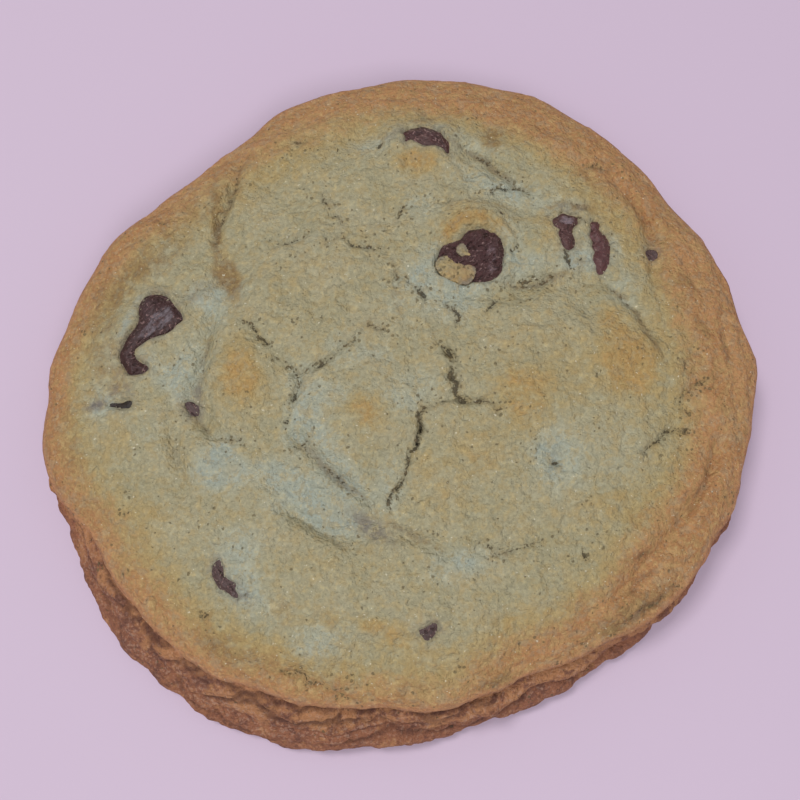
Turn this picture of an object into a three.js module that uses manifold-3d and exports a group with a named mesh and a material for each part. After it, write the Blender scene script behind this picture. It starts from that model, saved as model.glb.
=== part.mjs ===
// A thick, soft chocolate chip cookie: one crusty, domed round with a rolled edge, a stepped
// brown foot standing out on its lower left, cracks and folds on its top, and the chips that
// show, each in a pocket of its own. Millimetres, +Z up, resting on z = 0.

import * as THREE from "three";
import { mergeGeometries, mergeVertices } from "three/addons/utils/BufferGeometryUtils.js";
import Module from "manifold-3d";

const wasm = await Module();
wasm.setup();

// The main form
const DOME_HEIGHT = 15.2; // smooth dome at the middle, before its mounds
const EDGE_HEIGHT = 8.6; // where the crust is widest
const DOME_FLATNESS = 2.6; // higher keeps the top flat for longer
const DOME_SHOULDER = 0.62; // lower rounds the rim more
const REST_INSET = 2.2; // how far the flat underside stays inside the foot
const LAYER_ROUGHNESS = 0.6; // how far the wall's layers bulge in and out
const LAYER_WANDER = 0.8; // how far they wander up and down
const CHIP_GAP = 0.3; // air between a chip and its pocket

// Radius of the crust's edge every 15 degrees, anticlockwise from +X
const EDGE_RADII = [
  53.5, 53.5, 52.5, 52.5, 53, 53, 52, 50.5, 48, 47, 49.5, 52,
  53, 53.5, 50, 50, 49, 47.5, 46, 45.5, 46.5, 49.5, 51.5, 52.5,
];

// How far the brown foot stands out past the crust's edge: [bearing in degrees, reach]
const FOOT_REACH = [
  [0, 0], [30, -1], [165, -1], [185, 0.8], [200, 1.3], [212, 4.6], [222, 6], [262, 6.4],
  [280, 4.3], [298, 3.6], [312, 1.2], [335, 1], [360, 0],
];

// The wall from the crust's edge down: [height, offset from the edge, share of the foot's reach]
const WALL_STEPS = [
  [EDGE_HEIGHT, 0, 0], // widest line of the crust
  [7.7, -0.45, 0], // under the rolled edge
  [6.9, -1.1, 0.12], // upper groove
  [6.1, -0.3, 0.38], // crown of the ledge
  [5.1, -0.1, 0.58],
  [4.3, -0.8, 0.64], // lower groove
  [3.3, -0.1, 0.92],
  [2.3, 0, 1], // crown of the foot
  [0.9, -0.5, 1],
  [0, -REST_INSET, 1], // edge of the flat underside
];

// How far the grooves between the wall's layers open: [bearing in degrees, share of their depth]
const GROOVE_OPENING = [
  [0, 0.5], [55, 0.2], [105, 0.7], [150, 0.3], [200, 0.8], [240, 0.6], [285, 1.4], [300, 1.4],
  [318, 0.7], [360, 0.5],
];

// Mounds and hollows: [x, y, half length, half width, turn in degrees, rise]
const MOUNDS = [
  [-13, 10, 13, 10, 20, 0.9], // upper left plate
  [21, 2, 15, 14, 0, 1.1], // right plate
  [-5, -5.5, 8, 7, -40, 1.5], // raised golden mound in the middle
  [19, -3.5, 4, 3, 0, 0.3],
  [8, -11, 6, 4, 80, 0.4],
  [-23, 0, 4.5, 7, 0, 1],
  [34, 3.5, 5, 5, 0, 0.5],
  [10.5, 23.5, 5.5, 3.5, -10, 1.5], // crown above the large chip
  [3, 36, 6, 3.5, 0, 1],
  [22, 21.5, 4, 3, 0, 0.8],
  [-37, 9, 7, 5, 50, 0.6],
  [-12, -19, 7.5, 3, -35, -1.4], // long pale hollow
  [22, -13, 3, 3, 0, -0.5],
  [-25.5, 15, 2.6, 4, 0, -1],
  [16, 12.5, 9, 2.2, 5, -1.1], // valley under the chips
  [28, 11, 3.5, 5, 30, -0.7],
  [-29.5, -7, 3.5, 5, -20, -0.7],
  [-14, -34, 16, 6, -5, 0.6],
  [15, -33, 16, 6, 10, 0.6],
  [-30, 27, 8, 4, 50, 0.5],
];

// Soft folds in the crust: width, depth and route
const FOLDS = [
  { width: 2.2, depth: 0.9, route: [[-14.5, -9], [-11.5, -13], [-8, -16], [-5, -18.5]] },
  { width: 1.8, depth: 0.8, route: [[-15.5, -20], [-9.5, -23], [-0.5, -23], [6.5, -25.5]] },
  { width: 2.4, depth: 0.8, route: [[27.5, 15], [32, 13], [35, 10.5], [39.5, 4]] },
  { width: 2, depth: 0.8, route: [[7.5, 35.5], [12.5, 35], [15, 32], [19.5, 30]] },
  { width: 2, depth: 0.9, route: [[34, 32.5], [38.5, 24.5], [38, 19.5], [39, 14.5]] },
  { width: 1.8, depth: 0.8, route: [[-26, 36], [-26, 30.5], [-28, 21.5]] },
  { width: 2, depth: 0.9, route: [[-27.5, 8], [-29, -0.5], [-30, -5], [-24, -10.5]] },
  { width: 1.8, depth: 0.6, route: [[-32.5, -9], [-31.5, -13.5], [-30.5, -17]] },
  { width: 1.6, depth: 0.9, route: [[46.5, -9.5], [44.5, -15], [39, -22], [34.5, -27], [30, -31.5]] },
  { width: 1.6, depth: 0.8, route: [[-19, -41], [-14, -41.5], [-10, -44], [-6.5, -45.5]] },
];

// Cracks that the crust opened along: depth and route
const CRACKS = [
  { depth: 0.9, route: [[-23, 18], [-19.5, 19.5], [-14, 21.5]] },
  { depth: 0.6, route: [[-13, 28.5], [-11.5, 26.5], [-11, 23.5]] },
  { depth: 1, route: [[-10, 22.5], [-6, 19], [-2.5, 18.5], [-0.5, 14.5], [3.5, 11.5], [4.5, 9.5]] },
  { depth: 1.5, route: [[4, 6], [7, 1.5], [7.5, -3], [10.5, -5], [14, -6.5]] },
  { depth: 1.7, route: [[6, -5], [3.3, -6.5], [1.5, -11], [-1, -16.5], [-1, -22]] },
  { depth: 0.8, route: [[-23, 9], [-21.5, 7], [-19, 4]] },
  { depth: 1.1, route: [[-15, -1.5], [-11, 1], [-7, 3.5], [-3, 6.5]] },
  { depth: 1, route: [[-17.5, 1], [-15, -1.5], [-16, -7]] },
  { depth: 0.8, route: [[8, -23.5], [12.5, -25.5], [21, -23.5]] },
  { depth: 0.8, route: [[35, -11], [39.5, -7.5], [41.5, -8]] },
];

// The chips that show: each lobe is [x, y, half length, half width, turn in degrees]
const CHIPS = [
  { name: "chip_top", stand: 0.5, deep: 4, lobes: [[4.2, 38.2, 4.4, 2.5, -12]] },
  { name: "chip_crown", stand: 0.9, deep: 5, lobes: [[11.2, 18, 5.3, 4.3, 25]] },
  { name: "chip_right_inner", stand: 0.4, deep: 4, lobes: [[25, 23.6, 2.1, 2.3, 10], [25.2, 20.6, 1.9, 1.9, 0]] },
  { name: "chip_right_outer", stand: 0.7, deep: 4, lobes: [[30, 20, 4.6, 1.7, 96]] },
  { name: "chip_far_right", stand: 0.1, deep: 2.5, lobes: [[37.6, 19.4, 1, 1.5, 0]] },
  { name: "chip_left", stand: 0.6, deep: 4.5, lobes: [[-36, 10.2, 4.6, 3.2, 25], [-39.4, 4.6, 4.4, 2.2, 70]] },
  { name: "chip_left_slit", stand: 0.2, deep: 2.5, lobes: [[-40.6, -4.5, 1.8, 1.1, 5]] },
  { name: "chip_left_small", stand: 0.1, deep: 2.5, lobes: [[-30, -4.6, 1, 1.2, 0]] },
  { name: "chip_lower_left", stand: 0.3, deep: 3.5, lobes: [[-24.3, -29.3, 3.9, 1.5, -52]] },
  { name: "chip_low", stand: 0.3, deep: 2.5, lobes: [[4, -36, 1.3, 1.1, 45]] },
];
const CHIP_SQUARENESS = 3.2; // 2 is an ellipsoid, higher is flatter on top and steeper at the side

// Fineness of the meshes
const GRID = 48; // cells across the top
const AROUND = 4 * GRID; // edge points of the top and of each ring of the wall
const CHIP_SIDES = 12;
const CHIP_RINGS = 7;
const LATTICE = 1000; // points are rounded to a thousandth of a millimetre, so that seams meet

const DEGREE = Math.PI / 180;

function smooth(share) {
  const t = Math.min(1, Math.max(0, share));
  return t * t * (3 - 2 * t);
}

function rounded(value) {
  return Math.round(value * LATTICE) / LATTICE;
}

// A closed smooth curve through evenly spaced values, read at a bearing in degrees
function roundCurve(values, bearing) {
  const place = ((((bearing % 360) + 360) % 360) / 360) * values.length;
  const start = Math.floor(place);
  const t = place - start;
  const [a, b, c, d] = [-1, 0, 1, 2].map(
    (step) => values[(start + step + values.length) % values.length],
  );
  const linear = (c - a) * t;
  const square = (2 * a - 5 * b + 4 * c - d) * t * t;
  const cube = (3 * b - a - 3 * c + d) * t * t * t;
  return 0.5 * (2 * b + linear + square + cube);
}

// A value that passes smoothly from one [place, value] pair to the next
function stepCurve(pairs, place) {
  const last = pairs.findIndex(([start]) => start >= place);
  if (last <= 0) return pairs[0][1];
  const [startPlace, startValue] = pairs[last - 1];
  const [endPlace, endValue] = pairs[last];
  const share = smooth((place - startPlace) / (endPlace - startPlace));
  return startValue + (endValue - startValue) * share;
}

function bearingOf(x, y) {
  return (((Math.atan2(y, x) / DEGREE) % 360) + 360) % 360;
}

// Uneven bread-like lumps a few millimetres across
function lumps(x, y, z) {
  const broad = Math.sin(0.41 * x + 0.17 * y + 1.3) * Math.sin(0.33 * y - 0.21 * x + 0.5 * z);
  const fine = Math.sin(0.83 * x - 0.49 * y + 2.1 + 0.6 * z) * Math.sin(0.71 * y + 0.58 * x + 0.4);
  return 0.6 * broad + 0.4 * fine;
}

function edgeRadius(bearing) {
  const ripple = 0.22 * Math.sin(17 * bearing * DEGREE + 0.8) + 0.14 * Math.sin(29 * bearing * DEGREE);
  return roundCurve(EDGE_RADII, bearing) + ripple;
}

function edgeHeight(bearing) {
  return EDGE_HEIGHT + 0.45 * Math.sin(3 * bearing * DEGREE + 1) + 0.3 * Math.sin(8 * bearing * DEGREE);
}

// Nearest place on a route: its distance, its point, its share along the route
function nearestOnRoute(route, x, y) {
  let best = { distance: Infinity };
  for (let i = 0; i + 1 < route.length; i += 1) {
    const [startX, startY] = route[i];
    const [endX, endY] = route[i + 1];
    const [runX, runY] = [endX - startX, endY - startY];
    const free = ((x - startX) * runX + (y - startY) * runY) / (runX * runX + runY * runY);
    const along = Math.min(1, Math.max(0, free));
    const point = [startX + along * runX, startY + along * runY];
    const distance = Math.hypot(x - point[0], y - point[1]);
    if (distance < best.distance) {
      const beyond = (i === 0 && free < 0) || (i + 2 === route.length && free > 1);
      best = { distance, point, beyond, share: (i + along) / (route.length - 1) };
    }
  }
  return best;
}

function moundRise([centreX, centreY, halfLength, halfWidth, turn, rise], x, y) {
  const [cos, sin] = [Math.cos(turn * DEGREE), Math.sin(turn * DEGREE)];
  const along = ((x - centreX) * cos + (y - centreY) * sin) / halfLength;
  const across = ((y - centreY) * cos - (x - centreX) * sin) / halfWidth;
  return rise * Math.exp(-0.9 * (along * along + across * across) ** 1.4);
}

// Height of the crust at a point of the top, without its cracks
function topHeight(x, y) {
  const bearing = bearingOf(x, y);
  const share = Math.min(1, Math.hypot(x, y) / edgeRadius(bearing));
  const edge = edgeHeight(bearing);
  const dome = (1 - share ** DOME_FLATNESS) ** DOME_SHOULDER;
  const inner = smooth((1 - share) / 0.12);
  const mounds = MOUNDS.reduce((sum, mound) => sum + moundRise(mound, x, y), 0);
  const folds = FOLDS.reduce((sum, { width, depth, route }) => {
    const { distance } = nearestOnRoute(route, x, y);
    return sum - depth * Math.exp(-((distance / width) ** 2) * 2.5);
  }, 0);
  const relief = mounds + folds + 0.35 * lumps(x, y, 0);
  return edge + (DOME_HEIGHT - edge) * dome + inner * relief;
}

// Shirley and Chiu's even mapping of the square from -1 to 1 onto the round: [share, bearing]
function squareToRound(u, v) {
  if (u === 0 && v === 0) return [0, 0];
  if (Math.abs(u) >= Math.abs(v)) return [Math.abs(u), 45 * (v / u) + (u < 0 ? 180 : 0)];
  return [Math.abs(v), 90 - 45 * (u / v) + (v < 0 ? 180 : 0)];
}

function edgePoint(bearing) {
  const radius = edgeRadius(bearing);
  return [radius * Math.cos(bearing * DEGREE), radius * Math.sin(bearing * DEGREE), edgeHeight(bearing)];
}

// A point of the top. A point close to a crack is drawn onto it and sunk to its depth.
function topPoint(u, v) {
  const [share, bearing] = squareToRound(u, v);
  if (share > 1 - 0.5 / GRID) return edgePoint(bearing);
  const radius = share * edgeRadius(bearing);
  const [x, y] = [radius * Math.cos(bearing * DEGREE), radius * Math.sin(bearing * DEGREE)];
  const reach = roundCurve(EDGE_RADII, bearing) / GRID;
  for (const { depth, route } of CRACKS) {
    const { distance, point, beyond, share: along } = nearestOnRoute(route, x, y);
    if (distance < reach && !beyond) {
      const taper = 0.45 + 0.55 * Math.sin(Math.PI * along);
      return [...point, topHeight(...point) - depth * taper];
    }
  }
  return [x, y, topHeight(x, y)];
}

// A point of the wall. The steps wander up and down round the cookie, as layers of dough do.
function wallPoint(bearing, row) {
  if (row === 0) return edgePoint(bearing);
  const [height, offset, footShare] = WALL_STEPS[row];
  const turn = ((bearing % 360) + 360) % 360;
  const angle = bearing * DEGREE;
  const [cos, sin] = [Math.cos(angle), Math.sin(angle)];
  if (row === WALL_STEPS.length - 1) {
    const restRadius = edgeRadius(bearing) + offset + stepCurve(FOOT_REACH, turn);
    return [restRadius * cos, restRadius * sin, 0];
  }
  const groove = offset * stepCurve(GROOVE_OPENING, turn);
  const rough = LAYER_ROUGHNESS * lumps(50 * cos, 50 * sin, 1.7 * height);
  const radius = edgeRadius(bearing) + groove + footShare * stepCurve(FOOT_REACH, turn) + rough;
  const wander = 0.6 * Math.sin(5 * angle + 0.5 * row) + 0.4 * Math.sin(11 * angle - 0.8 * row);
  const fade = Math.min(1, height / 3) * Math.min(1, row / 3);
  const lift = (edgeHeight(bearing) - EDGE_HEIGHT) * (height / EDGE_HEIGHT);
  return [radius * cos, radius * sin, height + lift + LAYER_WANDER * fade * wander];
}

// Moves every point of a geometry by a rule that gets the old point
function reshape(geometry, rule) {
  const position = geometry.getAttribute("position");
  for (let i = 0; i < position.count; i += 1) {
    const point = rule(position.getX(i), position.getY(i), position.getZ(i));
    position.setXYZ(i, ...point.map(rounded));
  }
  geometry.deleteAttribute("normal");
  geometry.deleteAttribute("uv");
  return geometry;
}

function cookieGeometry() {
  const top = reshape(new THREE.PlaneGeometry(2, 2, GRID, GRID), topPoint);
  const rows = WALL_STEPS.length - 1;
  const wall = reshape(new THREE.CylinderGeometry(1, 1, rows, AROUND, rows, true), (x, y, z) => {
    const step = Math.round((Math.atan2(-z, x) / (2 * Math.PI)) * AROUND);
    return wallPoint((step * 360) / AROUND, Math.round(rows / 2 - y));
  });
  const underside = new THREE.CircleGeometry(1, AROUND).rotateX(Math.PI);
  reshape(underside, (x, y) => {
    if (Math.hypot(x, y) < 0.5) return [0, 0, 0];
    const step = Math.round((Math.atan2(y, x) / (2 * Math.PI)) * AROUND);
    return wallPoint((step * 360) / AROUND, rows);
  });
  return mergeVertices(mergeGeometries([top, wall, underside]), 0.5 / LATTICE);
}

// A closed geometry as a solid that can be cut and joined
function solidOf(geometry) {
  const merged = mergeVertices(geometry, 0.5 / LATTICE);
  const mesh = new wasm.Mesh({
    numProp: 3,
    vertProperties: new Float32Array(merged.getAttribute("position").array),
    triVerts: new Uint32Array(merged.getIndex().array),
  });
  return new wasm.Manifold(mesh);
}

function geometryOf(solid) {
  const mesh = solid.getMesh();
  const geometry = new THREE.BufferGeometry();
  geometry.setAttribute("position", new THREE.BufferAttribute(mesh.vertProperties, 3));
  geometry.setIndex(new THREE.BufferAttribute(mesh.triVerts, 1));
  geometry.computeVertexNormals();
  return geometry;
}

// One rounded lobe of a chip, lying in the crust and standing a little above it
function chipLobe([x, y, halfLength, halfWidth, turn], stand, deep, grow) {
  const [cos, sin] = [Math.cos(turn * DEGREE), Math.sin(turn * DEGREE)];
  const halfHeight = (stand + deep) / 2;
  const middle = topHeight(x, y) + stand - halfHeight;
  const power = 2 / CHIP_SQUARENESS;
  const lobe = new THREE.SphereGeometry(1, CHIP_SIDES, CHIP_RINGS).rotateX(Math.PI / 2);
  return reshape(lobe, (a, b, c) => {
    const flat = Math.hypot(a, b);
    const spread = flat < 1e-6 ? 0 : flat ** power / flat;
    const along = a * spread * (halfLength + grow);
    const across = b * spread * (halfWidth + grow);
    const up = Math.sign(c) * Math.abs(c) ** power * (halfHeight + grow);
    return [x + along * cos - across * sin, y + along * sin + across * cos, middle + up];
  });
}

function chipSolid({ stand, deep, lobes }, grow) {
  const solids = lobes.map((lobe) => solidOf(chipLobe(lobe, stand, deep, grow)));
  return solids.reduce((joined, solid) => joined.add(solid));
}

function pocketedCookie() {
  const pockets = CHIPS.map((chip) => chipSolid(chip, CHIP_GAP));
  return pockets.reduce((body, pocket) => body.subtract(pocket), solidOf(cookieGeometry()));
}

function namedMesh(name, solid, material) {
  const mesh = new THREE.Mesh(geometryOf(solid), material);
  mesh.name = name;
  return mesh;
}

function bakedCrust() {
  return new THREE.MeshStandardMaterial({ color: 0xb18f5d, roughness: 0.85, metalness: 0 });
}

function darkChocolate() {
  return new THREE.MeshStandardMaterial({ color: 0x4a3230, roughness: 0.5, metalness: 0 });
}

const cookie = new THREE.Group();
cookie.add(namedMesh("cookie", pocketedCookie(), bakedCrust()));
for (const chip of CHIPS) {
  cookie.add(namedMesh(chip.name, chipSolid(chip, 0), darkChocolate()));
}

export default cookie;
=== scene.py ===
"""Dresses a thick, soft chocolate chip cookie: its baked crust, the chips that show, and a plain studio."""

import logging
import math
from dataclasses import dataclass, field
from enum import Enum
from typing import Sequence

import bpy
import numpy as np
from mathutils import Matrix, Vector


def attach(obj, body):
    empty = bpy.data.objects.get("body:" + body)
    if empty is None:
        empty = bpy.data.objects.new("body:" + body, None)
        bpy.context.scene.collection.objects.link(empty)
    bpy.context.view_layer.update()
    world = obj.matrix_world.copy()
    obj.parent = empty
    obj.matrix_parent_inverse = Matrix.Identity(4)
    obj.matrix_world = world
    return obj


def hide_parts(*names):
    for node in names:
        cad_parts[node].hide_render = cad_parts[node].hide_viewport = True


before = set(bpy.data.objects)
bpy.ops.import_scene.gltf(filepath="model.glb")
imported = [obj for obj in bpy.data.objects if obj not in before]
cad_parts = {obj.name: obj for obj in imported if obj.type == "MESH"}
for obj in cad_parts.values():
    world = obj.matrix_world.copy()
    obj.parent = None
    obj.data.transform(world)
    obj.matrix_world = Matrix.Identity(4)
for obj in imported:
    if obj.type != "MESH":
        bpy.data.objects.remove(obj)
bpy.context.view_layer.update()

LOG = logging.getLogger("cookie")
MM = 0.001

# Large whole numbers that scatter the corners of the noise's lattice
SCATTER = (374761393, 668265263, 2147483647)
SCATTER_SEED = 974634777
SCATTER_MIX = 1274126177
SCATTER_BITS = 0xFFFFFFFF

# Shifts one layer or lane of noise away from the next
LAYER_SHIFT = 17.3
LANE_SHIFT = 9.1

# How steeply a mound falls, and how flat its top is
MOUND_FALL = 0.9
MOUND_FLATNESS = 1.4

Route = Sequence[tuple[float, float]]
Points = np.ndarray
Masks = dict[str, np.ndarray]


def smooth(share: Points) -> Points:
    """A soft step from 0 to 1 as share goes from 0 to 1."""
    t = np.clip(share, 0.0, 1.0)
    return t * t * (3 - 2 * t)


def bell(distance: Points, width: float) -> Points:
    """A soft bump of height 1 that has faded at about 1.5 widths."""
    return np.exp(-((distance / width) ** 2))


def waves(terms: Sequence[tuple[float, float, float]], angle: Points) -> Points:
    """A sum of waves round the turn, each given by its height, its count and its phase."""
    return sum(height * np.sin(count * angle + phase) for height, count, phase in terms)


def curve_between(corners: Sequence[Points], t: Points) -> Points:
    """A smooth curve from the second of four values to the third.

    Args:
        corners: the four values.
        t: the share of the way, from 0 to 1.

    Returns:
        The values on the curve.
    """
    a, b, c, d = corners
    square = (2 * a - 5 * b + 4 * c - d) * t**2
    cube = (3 * b - a - 3 * c + d) * t**3
    return 0.5 * (2 * b + (c - a) * t + square + cube)


def round_curve(values: Sequence[float], bearing: Points) -> Points:
    """A closed smooth curve through evenly spaced values.

    Args:
        values: the value at each even step round the turn.
        bearing: where to read it, in degrees.

    Returns:
        The value at each bearing.
    """
    listed = np.asarray(values, float)
    place = np.mod(bearing, 360.0) / 360.0 * len(listed)
    start = np.floor(place).astype(int)
    return curve_between([listed[(start + step) % len(listed)] for step in (-1, 0, 1, 2)], place - start)


def step_curve(pairs: Sequence[tuple[float, float]], place: Points) -> Points:
    """A value that passes smoothly from one pair to the next.

    Args:
        pairs: each a place and its value, in rising order of place.
        place: where to read it.

    Returns:
        The value at each place.
    """
    places, values = np.asarray(pairs, float).T
    last = np.clip(np.searchsorted(places, place), 1, len(places) - 1)
    share = smooth((place - places[last - 1]) / (places[last] - places[last - 1]))
    return values[last - 1] + (values[last] - values[last - 1]) * share


def lattice_noise(points: Points, seed: int) -> Points:
    """Smooth noise from -1 to 1, with about one unit between its lumps.

    Args:
        points: an array of shape (n, 3).
        seed: picks another pattern.

    Returns:
        One value for each point.
    """
    cell = np.floor(points).astype(np.int64)
    part = points - cell
    blend = part * part * part * (part * (part * 6 - 15) + 10)
    value = np.zeros(len(points))
    for corner in np.ndindex(2, 2, 2):
        mixed = ((cell + np.array(corner)) @ np.array(SCATTER) + seed * SCATTER_SEED) & SCATTER_BITS
        mixed = ((mixed ^ (mixed >> 13)) * SCATTER_MIX) & SCATTER_BITS
        level = ((mixed ^ (mixed >> 16)) & 0xFFFF) / 32767.5 - 1
        value += level * np.prod(np.where(corner, blend, 1 - blend), axis=1)
    return value


def layered_noise(points: Points, size: float, layers: int, seed: int) -> Points:
    """Noise with finer noise on it, each layer half the size and half the height of the last.

    Args:
        points: an array of shape (n, 3).
        size: the distance between the coarsest lumps.
        layers: how many layers.
        seed: picks another pattern.

    Returns:
        One value for each point.
    """
    total = np.zeros(len(points))
    for layer in range(layers):
        total += lattice_noise(points / size * 2**layer + LAYER_SHIFT * layer, seed + layer) / 2**layer
    return total


def relief_at(points: Points, layers: Sequence[tuple[float, float, int, int]]) -> Points:
    """A sum of layered noises, each given by its height, its size, its layers and its seed."""
    return sum(height * layered_noise(points, *noise) for height, *noise in layers)


def flat_points(x: Points, y: Points) -> Points:
    """Places x and y as points of shape (n, 3), all at height 0."""
    return np.column_stack([x, y, np.zeros(len(x))])


@dataclass
class Nearest:
    """The nearest place of a route, for each of many points."""

    distance: Points
    x: Points
    y: Points
    share: Points
    beyond: Points


def nearest_on_route(route: Route, x: Points, y: Points) -> Nearest:
    """Finds the nearest place of a route.

    Args:
        route: the route's corners.
        x: the points' first coordinates.
        y: the points' second coordinates.

    Returns:
        The distance, the place, its share along the route, and whether it lies past an end.
    """
    best = Nearest(np.full(len(x), np.inf), x.copy(), y.copy(), np.zeros(len(x)), np.ones(len(x), bool))
    count = len(route) - 1
    for i, ((ax, ay), (bx, by)) in enumerate(zip(route, route[1:])):
        run_x, run_y = bx - ax, by - ay
        free = ((x - ax) * run_x + (y - ay) * run_y) / (run_x**2 + run_y**2)
        along = np.clip(free, 0, 1)
        near_x, near_y = ax + along * run_x, ay + along * run_y
        distance = np.hypot(x - near_x, y - near_y)
        closer = distance < best.distance
        past = (free < 0) & (i == 0) | (free > 1) & (i == count - 1)
        found = (distance, near_x, near_y, (i + along) / count, past)
        for name, values in zip(("distance", "x", "y", "share", "beyond"), found):
            setattr(best, name, np.where(closer, values, getattr(best, name)))
    return best


def wandering_route(route: Route, step: float, stray: float, seed: int) -> list[tuple[float, float]]:
    """A route broken into short steps that stray to either side, as a crack does.

    Args:
        route: the corners it passes.
        step: the length of a step.
        stray: how far it strays.
        seed: picks another way to stray.

    Returns:
        The new corners.
    """
    corners = np.asarray(route, float)
    lengths = np.hypot(*np.diff(corners, axis=0).T)
    at = np.concatenate([[0], np.cumsum(lengths)])
    places = np.linspace(0, at[-1], max(2, int(at[-1] / step) + 1))
    x, y = (np.interp(places, at, corners[:, axis]) for axis in (0, 1))
    calm = np.minimum(1, np.minimum(places, at[-1] - places))
    for axis, values in enumerate((x, y)):
        lane = flat_points(places, np.full(len(places), LANE_SHIFT * axis))
        values += stray * calm * layered_noise(lane, 1.5, 2, seed)
    return list(zip(x, y))


def closed_outline(corners: Route, parts: int = 6) -> list[tuple[float, float]]:
    """A closed smooth outline through given corners.

    Args:
        corners: the corners, in order.
        parts: how many short pieces each side gets.

    Returns:
        The outline's points, with the first one again at its end.
    """
    bearing = np.linspace(0, 360, len(corners) * parts, endpoint=False)
    x, y = (round_curve([corner[axis] for corner in corners], bearing) for axis in (0, 1))
    return list(zip(x, y)) + [(x[0], y[0])]


def inside_distance(outline: Route, x: Points, y: Points) -> Points:
    """How far inside a closed outline each point lies.

    Args:
        outline: the closed outline.
        x: the points' first coordinates.
        y: the points' second coordinates.

    Returns:
        The distance to the outline, below 0 outside it.
    """
    inside = np.zeros(len(x), bool)
    for (ax, ay), (bx, by) in zip(outline, outline[1:]):
        crosses = (ay > y) != (by > y)
        inside ^= crosses & (x < ax + (y - ay) * (bx - ax) / (by - ay if by != ay else 1e-9))
    distance = nearest_on_route(outline, x, y).distance
    return np.where(inside, distance, -distance)


@dataclass(frozen=True)
class Mound:
    """A rise or hollow of the crust, in millimetres, or a coloured place with its strength as rise."""

    x: float
    y: float
    half_length: float
    half_width: float
    turn: float
    rise: float

    def spread(self, x: Points, y: Points) -> Points:
        """How much of the mound each point gets.

        Args:
            x: the points' first coordinates.
            y: the points' second coordinates.

        Returns:
            From 0 outside it to 1 in its middle.
        """
        cos, sin = math.cos(math.radians(self.turn)), math.sin(math.radians(self.turn))
        along = ((x - self.x) * cos + (y - self.y) * sin) / self.half_length
        across = ((y - self.y) * cos - (x - self.x) * sin) / self.half_width
        return np.exp(-MOUND_FALL * (along**2 + across**2) ** MOUND_FLATNESS)


def mounds(*rows: Sequence[float]) -> tuple[Mound, ...]:
    """Mounds from rows of x, y, half length, half width, turn and rise."""
    return tuple(Mound(*row) for row in rows)


@dataclass(frozen=True)
class Groove:
    """A fold or a crack of the crust: its width, its depth, the corners that it passes and how dark its
    painted shade is.
    """

    width: float
    depth: float
    route: Route
    dark: float = 1.0


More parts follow.
